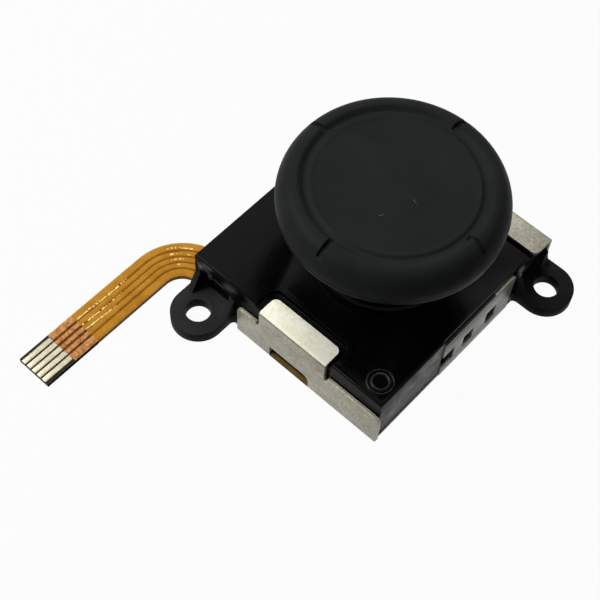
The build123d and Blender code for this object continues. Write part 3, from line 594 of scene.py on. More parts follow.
# The cap
@dataclass
class LintFibre:
    """A short curved fibre that tapers at both ends: its name, place, turn in degrees and sizes."""

    name: str
    place: Triple
    turn: float
    length: float = 0.40
    thick: float = 0.045
    bow: float = 0.18
    runs: int = 10
    sides: int = 8

    def mesh(self) -> Mesh:
        """Build the fibre.

        Returns:
            Its mesh, in metres.
        """
        work = bmesh.new()
        rings = []
        heading = Matrix.Rotation(math.radians(self.turn), 3, "Z")
        for i in range(self.runs + 1):
            t = i / self.runs * 2 - 1
            radius = self.thick / 2 * math.sqrt(max(1 - t * t, 0.02))
            along, bend = t * self.length / 2, self.bow * self.length * (t * t - 0.4)
            ring = []
            for angle in even_angles(self.sides):
                local = Vector((along, bend + radius * math.cos(angle), radius * math.sin(angle)))
                ring.append(work.verts.new((heading @ local + Vector(self.place)) * MM))
            rings.append(ring)
        for first, second in zip(rings, rings[1:]):
            span(work, first, second)
        work.faces.new(rings[0])
        work.faces.new(rings[-1])
        mesh = store(work, bpy.data.meshes.new(self.name), turn_out=True)
        smooth(mesh, 60.0)
        return mesh


@dataclass
class ThumbCap:
    """The rubber cap: a soft pad in a rounded rim with four narrow notches."""

    rim_rise: float = 0.14
    crest_inset: float = 1.30
    groove_inset: float = 1.78
    shoulder_radius: float = 2.30
    side_height: float = 0.16
    bottom_inset: float = 0.05
    dish: float = 0.08
    pad_radius: float = 5.34
    pad_sink: float = 0.01
    pad_lift: float = 0.045
    lip_start: float = 0.955
    pad_drop: float = 0.13
    floor_start: float = 5.64
    rim_swell: float = 1.5
    foot_round: float = 0.05
    throat_inset: float = 1.60
    head_inset: float = 1.25
    head_height: float = 0.45
    head_slope: float = 0.20
    skin: float = 0.93
    notch_half: float = 0.15
    notch_wall: float = 0.06
    notch_depth: float = 0.32
    notch_start_depth: float = 0.13
    notch_ramp: float = 0.12
    notch_reach: float = 1.50
    notch_fade: float = 0.22
    notch_foot: float = 0.30
    mouth_width: float = 0.22
    mouth_reach: float = 0.40
    mouth_fade: float = 0.20
    fine_step: float = 0.25
    coarse_step: float = 1.5
    fine_span: float = 6.5
    lint_places: tuple[Triple, ...] = ((0.90, -2.44, 58.0), (1.75, -0.22, -20.0))
    lint_lift: float = 0.012

    def __post_init__(self) -> None:
        """Read the cap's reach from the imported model."""
        low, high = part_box("thumb_cap")
        self.radius = (high.x - low.x) / 2 / MM
        self.crest_z = high.z / MM
        self.bottom_z = low.z / MM
        self.disc_z = self.crest_z - self.rim_rise
        self.wide_z = self.bottom_z + self.side_height
        self.groove = self.radius - self.groove_inset
        self.crest = self.radius - self.crest_inset
        self.floor_z = self.disc_z - self.pad_drop

    def angles(self) -> list[float]:
        """Find the angles of the lathe's steps, close together at the notches.

        Returns:
            The angles, in radians.
        """
        fine = round(2 * self.fine_span / self.fine_step)
        coarse_span = 90.0 - 2 * self.fine_span
        coarse = round(coarse_span / self.coarse_step)
        steps = []
        for middle in (0.0, 90.0, 180.0, 270.0):
            steps += [middle - self.fine_span + self.fine_step * i for i in range(fine)]
            steps += [middle + self.fine_span + coarse_span / coarse * i for i in range(coarse)]
        return [math.radians(step) for step in steps]

    def outline(self) -> list[Point]:
        """The closed outline, from the pad's middle over the rim and down to the hollow for the core.

        Returns:
            Points of radius and height.
        """
        r, rise, big, inset = self.radius, self.crest_z - self.wide_z, self.shoulder_radius, self.crest_inset
        small = (2 * big * inset - inset ** 2 - rise ** 2) / (2 * (big - rise))
        meet = math.degrees(math.atan2(rise - small, big - inset))
        side = (self.side_height ** 2 + self.bottom_inset ** 2) / (2 * self.bottom_inset)
        low = math.degrees(math.asin((self.side_height - self.foot_round) / side))
        return [
            *self.pad_points(),
            *self.rim_inner_points(),
            *reversed(arc((self.crest, self.crest_z - small), small, meet, 90.0, 18)[:-1]),
            *reversed(arc((r - big, self.wide_z), big, 0.0, meet, 16)[:-1]),
            *arc((r - side, self.wide_z), side, 0.0, -low, 6)[1:],
            *self.hollow_points(),
        ]

    def pad_points(self) -> list[Point]:
        """The dished pad, which lifts a little before its rounded edge falls into the groove.

        Returns:
            Points of radius and height.
        """
        steps, fall = 40, 12
        top = self.disc_z - self.pad_sink
        centre = self.disc_z - self.dish
        pad = []
        for i in range(steps + 1):
            share = i / steps
            lift = self.pad_lift * ease(share, self.lip_start)
            pad.append((self.pad_radius * share, centre + (top - self.pad_lift - centre) * share ** 2 + lift))
        for i in range(1, fall + 1):
            share = i / fall
            radius = self.pad_radius + (self.floor_start - self.pad_radius) * share
            pad.append((radius, top - (top - self.floor_z) * ease(share)))
        return pad + [(self.groove, self.floor_z)]

    def rim_inner_points(self) -> list[Point]:
        """The soft rise from the groove to the rim's crest, without the crest itself.

        Returns:
            Points of radius and height.
        """
        steps = 14
        width, rise = self.crest - self.groove, self.crest_z - self.floor_z
        points = []
        for share in (i / steps for i in range(1, steps)):
            lift = math.sin(share * math.pi / 2) ** self.rim_swell
            points.append((self.groove + width * share, self.floor_z + rise * lift))
        return points

    def hollow_points(self) -> list[Point]:
        """The flat underside and the hollow that holds the core's head.

        Returns:
            Points of radius and height.
        """
        throat = self.radius - self.bottom_inset - self.throat_inset
        head = self.radius - self.head_inset
        top = self.disc_z - self.dish - self.skin
        low = top - self.head_height
        return [
            (self.radius - self.bottom_inset - self.foot_round, self.bottom_z), (throat, self.bottom_z),
            (throat, low - self.head_slope), (head, low), (head, top), (0.0, top),
        ]

    def notch(self, radius: float, height: float, angle: float) -> float:
        """How far a point of the rim sinks into the nearest notch.

        Args:
            radius: The point's radius.
            height: Its height.
            angle: Its angle, in radians.

        Returns:
            The change of height, in millimetres.
        """
        if height < self.wide_z + self.notch_foot or radius < self.groove + 0.01:
            return 0.0
        quarter = math.pi / 2
        across = abs(radius * math.sin((angle + quarter / 2) % quarter - quarter / 2))
        mouth = self.mouth_width * (1.0 - ease(radius, self.groove, self.groove + self.mouth_reach))
        wall = self.notch_half + self.notch_wall
        slit = 1.0 - ease(across, self.notch_half, wall)
        lip = 1.0 - ease(across, self.notch_half, wall + mouth)
        end = self.groove + self.notch_reach
        fade = 1.0 - ease(radius, end - self.notch_fade, end)
        fade *= ease(radius, self.groove, self.groove + self.notch_ramp)
        inside = 1.0 - ease(radius, self.crest - self.mouth_fade, self.crest + self.mouth_fade)
        above = max(height - self.floor_z, 0.0)
        grown = ease(radius, self.groove, self.crest)
        depth = self.notch_start_depth + (self.notch_depth - self.notch_start_depth) * grown
        return -(slit * depth * fade + max(lip - slit, 0.0) * above * inside)

    def build(self) -> None:
        """Make the cap and the two fibres of lint on its pad."""
        mesh = dress(Lathe("thumb_cap_skin", self.outline(), self.angles(), self.notch).mesh(), RUBBER)
        smooth(mesh, 50.0)
        add_piece(mesh, Body.STICK, "thumb_cap")
        z = self.disc_z - self.dish + self.lint_lift
        for number, (x, y, turn) in enumerate(self.lint_places, start=1):
            add_piece(dress(LintFibre(f"lint_fibre_{number}", (x, y, z), turn).mesh(), LINT), Body.STICK)


@dataclass
class CapCore:
    """The stiff core under the cap: a neck, a thin ring under the rubber and the head in the cap's hollow."""

    ring_height: float = 0.64
    ring_dish: float = 0.60
    ring_land: float = 2.40
    edge: float = 0.22
    seam: float = 0.07
    neck: float = 1.50
    bore: float = 0.90
    throat: float = 5.90
    head: float = 6.30
    socket: float = 1.10
    head_height: float = 0.45
    head_slope: float = 0.20

    def outline(self) -> list[Point]:
        """The closed outline, from the bore's mouth round the ring to the head.

        Returns:
            Points of radius and height.
        """
        low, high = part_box("cap_core")
        ring, low_z, top = (high.x - low.x) / 2 / MM, low.z / MM, high.z / MM
        seam_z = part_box("thumb_cap")[0].z / MM
        ring_z = seam_z - self.ring_height
        return [
            (0.0, top - self.socket), (self.bore, top - self.socket), (self.bore, low_z), (self.neck, low_z),
            (self.neck, ring_z + self.ring_dish), (ring - self.ring_land, ring_z), (ring - self.edge, ring_z),
            *arc((ring - self.edge, ring_z + self.edge), self.edge, -90.0, 0.0, 8)[1:],
            *arc((ring - self.seam, seam_z - self.seam), self.seam, 0.0, 90.0, 4),
            (self.throat, seam_z), (self.throat, top - self.head_height - self.head_slope),
            (self.head, top - self.head_height), (self.head, top), (0.0, top),
        ]

    def build(self) -> None:
        """Make the core."""
        mesh = dress(Lathe("cap_core_turned", self.outline(), even_angles(180)).mesh(), CORE_BLACK)
        smooth(mesh)
        add_piece(mesh, Body.STICK, "cap_core")


@dataclass
class DustDome:
    """The round skirt on the stem that closes the opening of the collar."""

    wall: float = 0.45
    pivot: float = 2.30
    radius: float = 4.30
    neck: float = 1.65
    bore: float = 0.90

    def outline(self) -> list[Point]:
        """The closed outline, along the inside, round the edge and up the outside to the neck.

        Returns:
            Points of radius and height.
        """
        low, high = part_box("dust_dome")
        edge, top = low.z / MM - self.pivot, high.z / MM
        inner, outer = self.radius - self.wall, self.radius
        centre = (0.0, self.pivot)
        inner_low, outer_low = (math.degrees(math.asin(edge / radius)) for radius in (inner, outer))
        inner_high = math.degrees(math.acos(self.bore / inner))
        outer_high = math.degrees(math.acos(self.neck / outer))
        inside = arc(centre, inner, inner_high, inner_low, 24)
        outside = arc(centre, outer, outer_low, outer_high, 30)
        return [*inside, *outside, (self.neck, top), (self.bore, top), inside[0]]

    def build(self) -> None:
        """Make the dome."""
        lathe = Lathe("dust_dome_turned", self.outline(), even_angles(144), hollow=True)
        mesh = dress(lathe.mesh(), CORE_BLACK)
        smooth(mesh)
        add_piece(mesh, Body.STICK, "dust_dome")


# The body
@dataclass
class RingMark:
    """The small round mark on the housing's top: a dished button, a fine groove and a lip."""

    place: Point = (6.07, -7.45)
    profile: tuple[Point, ...] = (
        (0.0, 0.025), (0.432, 0.035), (0.60, 0.090), (0.72, 0.012), (0.80, 0.012), (0.87, 0.050), (0.97, 0.0),
    )
    groove: float = 0.77
    root: Point = (0.92, -0.05)
    reach: float = 1.0
    lit_lip_height: float = 0.044
    lit_button_height: float = 0.078

    def off(self, place: Vector) -> float:
        """How far a place, in metres, lies from the mark's middle, in millimetres."""
        return math.hypot(place.x / MM - self.place[0], place.y / MM - self.place[1])

    def clear(self, mesh: Mesh, top: float) -> None:
        """Flatten the housing's own raised ring, which the mark takes the place of.

        Args:
            mesh: The housing's mesh, in metres.
            top: The height of the housing's top, in metres.
        """
        work = opened(mesh)
        for vert in work.verts:
            if self.off(vert.co) < self.reach and vert.co.z > top:
                vert.co.z = top
        weld(work)
        bmesh.ops.dissolve_degenerate(work, edges=work.edges, dist=WELD)
        store(work, mesh)

    def outline(self, top: float) -> list[Point]:
        """The closed outline from the button's middle to the lip, and the hidden underside.

        Args:
            top: The height of the housing's top, in millimetres.

        Returns:
            Points of radius and height.
        """
        runs = 6
        points = []
        for (r0, z0), (r1, z1) in zip(self.profile, self.profile[1:]):
            for share in (i / runs for i in range(runs)):
                points.append((r0 + (r1 - r0) * share, top + z0 + (z1 - z0) * ease(share)))
        root, sink = self.root
        return points + [(self.profile[-1][0], top), (root, top + sink), (0.0, top + sink)]

    def build(self, top: float) -> None:
        """Make the mark, with painted highlights on the tops of its lip and button.

        Args:
            top: The height of the housing's top, in millimetres.
        """
        mesh = Lathe("housing_ring_mark", self.outline(top), even_angles(72)).mesh()
        mesh.transform(Matrix.Translation((self.place[0] * MM, self.place[1] * MM, 0.0)))
        dress(mesh, HOUSING_BLACK, HOUSING_EDGE_HIGHLIGHT)
        # Faces above these heights on the lip and button take the painted highlight.
        for face in mesh.polygons:
            highlight_height = self.lit_lip_height if self.off(face.center) > self.groove else self.lit_button_height
            face.material_index = int(face.center.z / MM - top > highlight_height)
        smooth(mesh, 60.0)
        add_piece(mesh, Body.BASE, "housing")


class HousingSkin(Enum):
    """The housing's finishes, by their place among its materials."""

    PLAIN = 0
    # The softened edges, painted lighter as a highlight.
    EDGE = 1
    # The ears, painted lighter as lit.
    EAR = 2
    SIDE = 3
    CATCH = 4


class PlateSkin(Enum):
    """The base plate's finishes, by their place among its materials."""

    PLAIN = 0
    # The front tab's top, painted light.
    TAB = 1
    # The side plate and the fold, painted shade.
    SIDE = 2
    # The top of the cut edge, painted shadow.
    CUT = 3


@dataclass
class ModuleBody:
    """The moulded housing and the folded base plate."""

    housing_round: float = 0.085
    plate_round: float = 0.045
    top_z: float = 4.80
    tab_near_y: float = -7.0
    front_y: float = -8.75
    right_x: float = 7.31
    side_low_y: float = -2.20
    side_high_y: float = 5.40
    side_top_z: float = 4.16
    side_gap_z: float = 4.30
    # Where the painted shadow on the cut edge ends, along Y.
    cut_shadow_end_y: float = 3.20
    pocket_depth: float = 0.35
    catch_depth: float = 0.22
    sheet: float = 0.25
    ear_gap: float = 0.03
    web_outline: tuple[Point, ...] = (
        (8.40, 1.20), (8.40, 2.95), (8.62, 3.35), (8.82, 3.68), (8.90, 3.30), (9.02, 2.88), (9.18, 2.42),
        (9.38, 1.98), (9.60, 1.60), (9.86, 1.24),
    )
    web_root: float = 0.02
    web_reach: float = 0.34

    def housing_skin(self, face: Face) -> HousingSkin:
        """Choose the finish of one of the housing's faces.

        Args:
            face: The face.

        Returns:
            The pocket's, a catch's, an ear's or the right wall's finish, or its own.
        """
        x, y, z = face.center / MM
        beside = self.side_low_y < y < self.side_high_y and z < self.side_top_z
        if beside and x > self.right_x - self.pocket_depth:
            return HousingSkin.CATCH if x > self.right_x - self.catch_depth else HousingSkin.EAR
        now = HousingSkin(face.material_index)
        outside = y < self.front_y - self.ear_gap or x > self.right_x + self.ear_gap
        if outside and now is HousingSkin.PLAIN:
            return HousingSkin.EAR
        upright = face.normal.x > 0.9
        return HousingSkin.SIDE if upright and x > self.right_x - 0.05 else now

    def plate_skin(self, face: Face) -> PlateSkin:
        """Choose the finish of one of the plate's faces.

        Args:
            face: The face.

        Returns:
            The painted shadow of the cut edge, the painted light of the front tab's top, the painted shade of
            the side and the fold, or the plain tin.
        """
        x, y, z = face.center / MM
        # The top of the cut edge under the housing takes the painted shadow.
        on_edge = x > self.right_x - self.sheet and self.side_low_y - 0.1 < y < self.cut_shadow_end_y
        if on_edge and self.side_top_z - 0.06 < z < self.side_gap_z:
            return PlateSkin.CUT
        up = face.normal.z
        # The front tab's top takes the painted light.
        if up > 0.5 and y < self.tab_near_y and z > self.top_z - 0.5:
            return PlateSkin.TAB
        # The fold and the side plate take the darker tin as painted shade.
        on_fold = 0.12 < up < 0.55 and y < self.front_y and z > self.top_z - 0.8
        on_side = x > self.right_x and y > self.front_y + 0.5
        return PlateSkin.SIDE if on_fold or on_side else PlateSkin.PLAIN

    def web(self) -> Mesh:
        """Build the web between the right ear and the back wall, a prism that runs along X.

        Returns:
            Its mesh, in metres.
        """
        work = bmesh.new()
        ends = (self.right_x - self.web_root, self.right_x + self.web_reach)
        near, far = ([work.verts.new((x * MM, y * MM, z * MM)) for y, z in self.web_outline] for x in ends)
        work.faces.new(near)
        work.faces.new(far)
        span(work, near, far)
        mesh = store(work, bpy.data.meshes.new("housing_ear_web"), turn_out=True)
        smooth(mesh)
        return dress(mesh, EAR_LIT_BLACK)

    def build(self) -> None:
        """Make both, with the web and the ring mark."""
        mark = RingMark()
        source = CadCopy("housing", "housing_moulded", self.housing_round)
        source.finishes = (HOUSING_BLACK, HOUSING_EDGE_HIGHLIGHT, EAR_LIT_BLACK, HOUSING_SIDE, CATCH_BLACK)
        source.edit = lambda mesh: mark.clear(mesh, self.top_z * MM)
        housing = source.mesh()
        for face in housing.polygons:
            face.material_index = self.housing_skin(face).value
        add_piece(self.web(), Body.BASE, "housing")
        add_piece(housing, Body.BASE, "housing")
        mark.build(self.top_z)
        plate = CadCopy("base_plate", "base_plate_folded", self.plate_round).mesh()
        # The plate is cut across Y where the painted shadow on its cut edge ends.
        work = opened(plate)
        cut(work, Y_AXIS, self.cut_shadow_end_y)
        dress(store(work, plate), TIN, TIN_LIT_TOP, TIN_SHADE, TIN_CUT_SHADOW)
        for face in plate.polygons:
            face.material_index = self.plate_skin(face).value
        add_piece(plate, Body.BASE, "base_plate")


# The flex circuit
class TailSkin(Enum):
    """The tail's finishes, by their place among its materials."""

    BAND = 0
    LINE = 1
    COPPER_BAND = 2
    COPPER_LINE = 3
    GAP = 4
    GLINT = 5
    EDGE = 6


class Zone(Enum):
    """The stretches of the tail, by the finishes of their conductors and of the lines between them."""

    COVERED = (TailSkin.BAND, TailSkin.LINE)
    COPPER = (TailSkin.COPPER_BAND, TailSkin.COPPER_LINE)
    CONTACTS = (TailSkin.GAP, TailSkin.GAP)


@dataclass(frozen=True)
class Glint:
    """A run of pale dashes painted as highlights where the film's ridges catch the light: its stretch, offset
    and dashes.
    """

    start: float
    end: float
    off: float
    drift: float
    dash: float
    share: float
    half: float = 0.056
    half_sway: float = 0.014
    phase_sway: float = 0.35

    def covers(self, along: float, off: float) -> bool:
        """Tell whether a point of the tail lies on one of the dashes.

        Args:
            along: The point's distance along the tail.
            off: Its distance from the middle line.

        Returns:
            Whether it does.
        """
        if not self.start <= along <= self.end:
            return False
        middle = self.off + self.drift * (along - self.start) / (self.end - self.start)
        phase = along / self.dash + self.phase_sway * math.sin(along * 5.3 + self.off * 9.0)
        half = self.half + self.half_sway * math.sin(along * 7.1 + self.off * 4.0)
        return abs(off - middle) < half and phase % 1.0 < self.share


GLINTS = (
    Glint(7.80, 8.95, 0.80, -0.04, 0.36, 0.45), Glint(8.95, 11.00, 0.76, 0.06, 0.55, 0.72),
    Glint(11.05, 12.40, 0.86, 0.0, 0.70, 0.94), Glint(8.80, 10.10, 0.23, -0.03, 0.30, 0.25),
    Glint(10.15, 12.45, 0.20, 0.10, 0.42, 0.70), Glint(9.70, 10.20, -0.24, 0.0, 0.25, 0.30),
    Glint(10.25, 12.50, -0.25, 0.10, 0.60, 0.86), Glint(3.05, 3.75, 0.90, 0.05, 0.50, 0.80),
    Glint(3.80, 4.62, 1.02, 0.0, 0.30, 0.50), Glint(3.15, 3.75, 0.38, 0.08, 0.40, 0.60),
    Glint(3.75, 4.50, 0.49, 0.0, 0.36, 0.45), Glint(3.50, 4.45, 0.02, 0.0, 0.24, 0.50),
    Glint(3.85, 4.05, -0.42, 0.0, 0.30, 0.90),
)


@dataclass
class FlexTail:
    """The amber tail with its five conductors, the copper stretch and the contact end."""

    exit_y: float = -6.95
    bend_radius: float = 2.90
    start_x: float = -8.30
    contact_length: float = 2.50
    copper_length: float = 2.10
    copper_fade: float = 0.8
    conductors: int = 5
    pitch: float = 0.50
    line_half: float = 0.082
    copper_line_half: float = 0.100
    cover: float = 0.012
    rise: float = 0.034
    slope: float = 0.16
    ripple: float = 0.010
    ripple_rates: Triple = (0.9, 1.4, 3.1)
    crinkle: float = 0.016
    crinkle_rates: Triple = (4.0, 3.0, 8.2)
    finger_round: float = 0.006
    finger_share: float = 0.92
    lip_centre: float = -0.30
    lip_share: float = 1.09
    lip_y: float = -8.60
    lip_margin: float = 1.0
    lip_dark_y: float = -8.78
    lip_shade_y: float = -7.90
    step_along: float = 0.05
    across: int = 80

    def __post_init__(self) -> None:
        """Read the tail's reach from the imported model."""
        low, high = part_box("flex_circuit")
        stiff_low, stiff_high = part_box("contact_stiffener")
        self.half = (stiff_high.x - stiff_low.x) / 2 / MM
        self.run_x = (stiff_high.x + stiff_low.x) / 2 / MM
        self.low_z, self.top_z = low.z / MM, high.z / MM
        self.bend_x = self.run_x + self.bend_radius
        self.bend_y = self.exit_y - self.bend_radius
        self.first = self.start_x - self.bend_x
        self.second = self.bend_radius * math.pi / 2
        self.total = self.first + self.second + self.bend_y - low.y / MM

    def at(self, along: float, off: float) -> Point:
        """A point of the tail seen from above.

        Args:
            along: The distance along the middle line.
            off: The distance from it, outward from the bend.

        Returns:
            Its x and y.
        """
        if along < self.first:
            return self.start_x - along, self.exit_y + off
        if along < self.first + self.second:
            angle = (along - self.first) / self.bend_radius
            r = self.bend_radius + off
            return self.bend_x - r * math.sin(angle), self.bend_y + r * math.cos(angle)
        return self.run_x - off, self.bend_y - (along - self.first - self.second)

    def zone(self, along: float) -> Zone:
        """Find what the tail's top shows.

        Args:
            along: The distance along the middle line.

        Returns:
            The stretch.
        """
        left = self.total - along
        if left < self.contact_length:
            return Zone.CONTACTS
        return Zone.COPPER if left < self.contact_length + self.copper_length else Zone.COVERED

    def gap(self, off: float) -> float:
        """How near an offset is to the middle of the nearest gap between conductors."""
        return min(abs(off - (k - self.conductors / 2) * self.pitch) for k in range(1, self.conductors))

    def height(self, along: float, off: float) -> float:
        """The height of the tail's top.

        Args:
            along: The distance along the middle line.
            off: The distance from it.

        Returns:
            The height, in millimetres.
        """
        if self.zone(along) is Zone.CONTACTS:
            return self.top_z
        ripple, crinkle = (
            noise.noise(Vector((along * rates[0], off * rates[1], rates[2]))) * height
            for rates, height in ((self.ripple_rates, self.ripple), (self.crinkle_rates, self.crinkle))
        )
        ridge = ease(self.gap(off), 0.0, self.slope)
        ridge *= 1.0 - ease(abs(off), self.half - self.slope, self.half)
        left = self.total - along - self.contact_length
        share = 1.0 - ease(left, self.copper_length, self.copper_length + self.copper_fade)
        return self.top_z + self.cover + (self.rise + ripple + crinkle * share) * ridge

    def build(self) -> None:
        """Make the tail, the part inside the housing and the fingers."""
        add_piece(self.ribbon(), Body.BASE, "flex_circuit")
        add_piece(self.inner_sheet(), Body.BASE, "flex_circuit")
        source = CadCopy("contact_fingers", "contact_fingers_plated", self.finger_round, self.narrow_fingers)
        add_piece(dress(source.mesh(), CONTACT_GOLD), Body.BASE, "contact_fingers")

    def narrow_fingers(self, mesh: Mesh) -> None:
        """Draw each finger in a little about its own middle.

        Args:
            mesh: The fingers' mesh.
        """
        for vert in mesh.vertices:
            x = vert.co.x / MM - self.run_x
            middle = round(x / self.pitch) * self.pitch
            vert.co.x = (self.run_x + middle + (x - middle) * self.finger_share) * MM

    def top_skin(self, along: float, off: float) -> TailSkin:
        """Choose the finish of a place on the tail's top.

        Args:
            along: The distance along the middle line.
            off: The distance from it.

        Returns:
            The finish.
        """
        # Places on the painted highlights take the glint finish.
        if any(glint.covers(along, off) for glint in GLINTS):
            return TailSkin.GLINT
        zone = self.zone(along)
        on_line = self.gap(off) < (self.copper_line_half if zone is Zone.COPPER else self.line_half)
        return zone.value[int(on_line)]

    def ribbon(self) -> Mesh:
        """Build the tail as a closed band, its top shaped by the conductors.

        Returns:
            Its mesh, in metres.
        """
        runs = round(self.total / self.step_along)
        offs = [self.half * (2 * i / self.across - 1) for i in range(self.across + 1)]
        work = bmesh.new()

        def face(skin: TailSkin, *corners: Vert) -> None:
            """Make a face with its finish."""
            work.faces.new(corners).material_index = skin.value

        tops, lows = [], []
        for along in (self.total * i / runs for i in range(runs + 1)):
            places = [(*self.at(along, off), off) for off in offs]
            high = [Vector((x, y, self.height(along, off))) for x, y, off in places]
            tops.append([work.verts.new(place * MM) for place in high])
            lows.append([work.verts.new(Vector((x, y, self.low_z)) * MM) for x, y, _ in places])
        for i in range(runs):
            along = self.total * (i + 0.5) / runs
            top, next_top, low, next_low = tops[i], tops[i + 1], lows[i], lows[i + 1]
            for k in range(self.across):
                skin = self.top_skin(along, (offs[k] + offs[k + 1]) / 2)
                face(skin, top[k], top[k + 1], next_top[k + 1], next_top[k])
                face(TailSkin.LINE, low[k], next_low[k], next_low[k + 1], low[k + 1])
            side = TailSkin.GAP if self.zone(along) is Zone.CONTACTS else TailSkin.EDGE
            for k in (0, self.across):
                face(side, top[k], next_top[k], next_low[k], low[k])
        for row, skin in ((0, TailSkin.LINE), (runs, TailSkin.GAP)):
            face(skin, *tops[row], *reversed(lows[row]))
        mesh = store(work, bpy.data.meshes.new("flex_tail_film"), turn_out=True)
        dress(mesh, BAND, LINE, COPPER_BAND, COPPER_LINE, FINGER_GAP_AND_SLOT_SHADE, GLINT, FILM_EDGE)
        smooth(mesh, 45.0)
        return mesh

    def inner_sheet(self) -> Mesh:
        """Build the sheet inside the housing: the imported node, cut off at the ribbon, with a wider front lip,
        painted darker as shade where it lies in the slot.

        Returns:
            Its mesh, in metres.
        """
        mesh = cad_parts["flex_circuit"].data.copy()
        mesh.name = "flex_inner_film"
        mesh.materials.clear()
        work = opened(mesh)
        weld(work)
        cut(work, X_AXIS, self.start_x, clear_low=True)
        bmesh.ops.holes_fill(work, edges=[edge for edge in work.edges if edge.is_boundary])
        for y in (self.lip_dark_y, self.lip_shade_y):
            cut(work, Y_AXIS, y)
        for vert in work.verts:
            if vert.co.y < self.lip_y * MM:
                vert.co.x = (self.lip_centre + (vert.co.x / MM - self.lip_centre) * self.lip_share) * MM
        # Painted shade in the slot: the lip's front strip takes a darker amber and the film behind it
        # near-black.
        for face in work.faces:
            x, y, _ = face.calc_center_median() / MM
            shaded = y < self.lip_shade_y and x > self.start_x + self.lip_margin
            face.material_index = 1 if y < self.lip_dark_y else 2 if shaded else 0
        return dress(store(work, mesh, turn_out=True), BAND, LIP_SHADED_AMBER, FINGER_GAP_AND_SLOT_SHADE)


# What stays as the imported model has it
@dataclass
class InnerParts:
    """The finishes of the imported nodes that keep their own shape."""

    def finishes(self) -> dict[Finish, str]:
        """The nodes of each finish."""
        return {
            TAPE: "adhesive_sheet", BOARD: "contact_stiffener", CARBON: "carbon_track_x carbon_track_y",
            CONTACT_GOLD: "click_contact", SNAP_FILM: "dome_film", BLACK_ACETAL: "upper_arch",
            SPRING: "click_dome return_spring hub_pins stem wiper_x wiper_y",
            ACETAL: "lower_yoke stem_hub slider_x slider_y",
        }

    def build(self) -> None:
        """Give each node its material."""
        for finish, nodes in self.finishes().items():
            for node in nodes.split():
                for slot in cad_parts[node].material_slots:
                    slot.material = made(finish)
                log.info("%s: %s", node, finish.name)


# The studio
@dataclass
class Lamp:
    """A soft square lamp that faces a point of the object."""

    name: str
    place: Triple
    side: float
    radiance: float
    aim: Triple = (0.0, 0.0, 5.0)

    def build(self) -> None:
        """Hang the lamp."""
        data = bpy.data.lights.new(self.name, "AREA")
        data.size = self.side * MM
        data.energy = self.radiance * math.pi * (self.side * MM) ** 2
        lamp = bpy.data.objects.new(self.name, data)
        place = Vector(self.place) * MM
        lamp.location = place
        lamp.rotation_euler = (Vector(self.aim) * MM - place).to_track_quat("-Z", "Y").to_euler()
        bpy.context.scene.collection.objects.link(lamp)


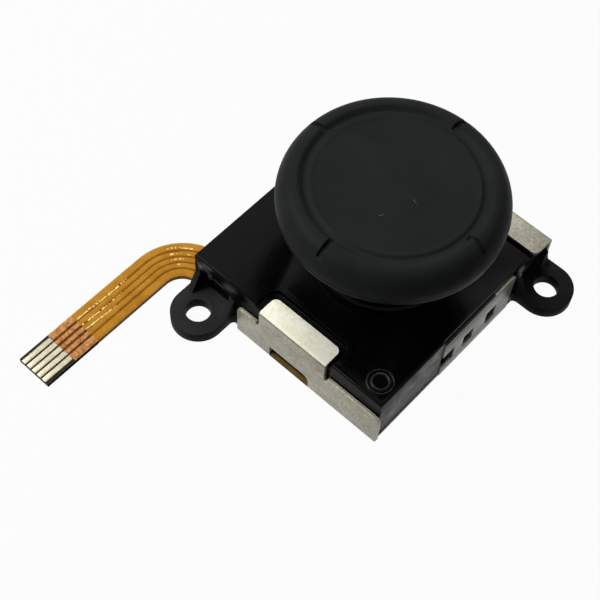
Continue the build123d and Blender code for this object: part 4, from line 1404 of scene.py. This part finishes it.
@dataclass
class Studio:
    """The floor, the world, the lamps and the camera."""

    azimuth: float = 39.017
    elevation: float = 59.110
    roll: float = 3.916
    distance: float = 91.518
    target: Point = (-3.570, -4.271)
    focal_px: float = 1297.45
    clip: Point = (0.002, 20.0)
    floor_side: float = 3000.0
    floor_colour: Triple = (0.30, 0.30, 0.30)
    floor_rough: float = 0.9
    floor_specular: float = 0.1
    sky_colour: Triple = (0.97, 0.98, 1.0)
    sky_strength: float = 0.07
    white_share: float = 0.965
    lamps: tuple[Lamp, ...] = (
        Lamp("back_lamp", (-77.0, 99.0, 197.0), 200.0, 1.8),
        Lamp("front_lamp", (-90.0, -110.0, 155.0), 60.0, 13.5),
        Lamp("key_lamp", (-93.0, -45.0, 108.0), 80.0, 6.0),
    )

    def build(self) -> None:
        """Set up the whole studio."""
        self.camera()
        self.floor()
        self.world()
        for lamp in self.lamps:
            lamp.build()
        bpy.context.scene.view_settings.view_transform = "Standard"

    def camera(self) -> None:
        """Place the camera at the photograph's viewing angle."""
        az, el, roll = (math.radians(v) for v in (self.azimuth, self.elevation, self.roll))
        back = Vector((math.sin(az) * math.cos(el), -math.cos(az) * math.cos(el), math.sin(el)))
        level = Vector((math.cos(az), math.sin(az), 0.0))
        over = back.cross(level)
        right = math.cos(roll) * level + math.sin(roll) * over
        up = -math.sin(roll) * level + math.cos(roll) * over
        place = (Vector((*self.target, 0.0)) + back * self.distance) * MM
        data = bpy.data.cameras.new("camera")
        data.sensor_width = SENSOR
        data.lens = self.focal_px * SENSOR / PHOTO_SIDE
        data.clip_start, data.clip_end = self.clip
        camera = bpy.data.objects.new("camera", data)
        turned = Matrix((right, up, back)).transposed().to_4x4()
        camera.matrix_world = Matrix.Translation(place) @ turned
        bpy.context.scene.collection.objects.link(camera)
        bpy.context.scene.camera = camera

    def seen_rays(self, tree: Tree) -> Socket:
        """Tell the rays that the eye follows from the rest.

        Args:
            tree: The tree of the material or the world.

        Returns:
            A value of 1 for rays from the camera, from gloss and through glass, else 0.
        """
        path = add_node(tree, "LightPath")
        total = path.outputs["Is Camera Ray"]
        for name in ("Is Glossy Ray", "Is Transmission Ray"):
            node = add_node(tree, "Math")
            node.operation = "MAXIMUM"
            tree.links.new(total, node.inputs[0])
            tree.links.new(path.outputs[name], node.inputs[1])
            total = node.outputs[0]
        return total

    def show_white(self, tree: Tree, share: Socket, plain: Socket, white: Socket, end: Socket) -> None:
        """Mix a white shader over a plain one.

        Args:
            tree: The tree of the material or the world.
            share: How much of the white shows.
            plain: The plain shader, which lights the object.
            white: The white shader.
            end: The output that takes the mix.
        """
        mix = add_node(tree, "MixShader")
        for socket, source in zip(mix.inputs, (share, plain, white)):
            tree.links.new(source, socket)
        tree.links.new(mix.outputs[0], end)

    def floor(self) -> None:
        """A plain pale floor that is seen as white and keeps a faint shadow."""
        half = self.floor_side / 2 * MM
        mesh = bpy.data.meshes.new("floor")
        corner_places = [(-half, -half, 0), (half, -half, 0), (half, half, 0), (-half, half, 0)]
        mesh.from_pydata(corner_places, [], [(0, 1, 2, 3)])
        material = bpy.data.materials.new("floor")
        material.use_nodes = True
        tree = material.node_tree
        matt = tree.nodes["Principled BSDF"]
        matt.inputs["Base Color"].default_value = (*self.floor_colour, 1.0)
        matt.inputs["Roughness"].default_value = self.floor_rough
        matt.inputs["Specular IOR Level"].default_value = self.floor_specular
        white = add_node(tree, "Emission", Strength=1.0)
        share = add_node(tree, "Math")
        share.operation = "MULTIPLY"
        share.inputs[1].default_value = self.white_share
        tree.links.new(self.seen_rays(tree), share.inputs[0])
        end = tree.nodes["Material Output"].inputs["Surface"]
        self.show_white(tree, share.outputs[0], matt.outputs[0], white.outputs[0], end)
        mesh.materials.append(material)
        floor = bpy.data.objects.new("floor", mesh)
        bpy.context.scene.collection.objects.link(floor)

    def world(self) -> None:
        """A pale sky that is seen as white."""
        world = bpy.data.worlds.new("sky")
        world.use_nodes = True
        bpy.context.scene.world = world
        tree = world.node_tree
        sky = tree.nodes["Background"]
        sky.inputs["Color"].default_value = (*self.sky_colour, 1.0)
        sky.inputs["Strength"].default_value = self.sky_strength
        white = add_node(tree, "Background", Color=(1.0, 1.0, 1.0, 1.0), Strength=1.0)
        end = tree.nodes["World Output"].inputs["Surface"]
        self.show_white(tree, self.seen_rays(tree), sky.outputs[0], white.outputs[0], end)


def corners(box: Iterable[Vector]) -> list[list[float]]:
    """A box as plain lists of numbers."""
    return [[float(value) for value in corner] for corner in box]


def main() -> None:
    """Build the studio and every piece in order."""
    logging.basicConfig(level=logging.INFO, format="%(message)s")
    Studio().build()
    for part in (ThumbCap(), CapCore(), DustDome(), ModuleBody(), FlexTail(), InnerParts()):
        log.info("building %s", type(part).__name__)
        part.build()


if __name__ == "__main__":
    main()
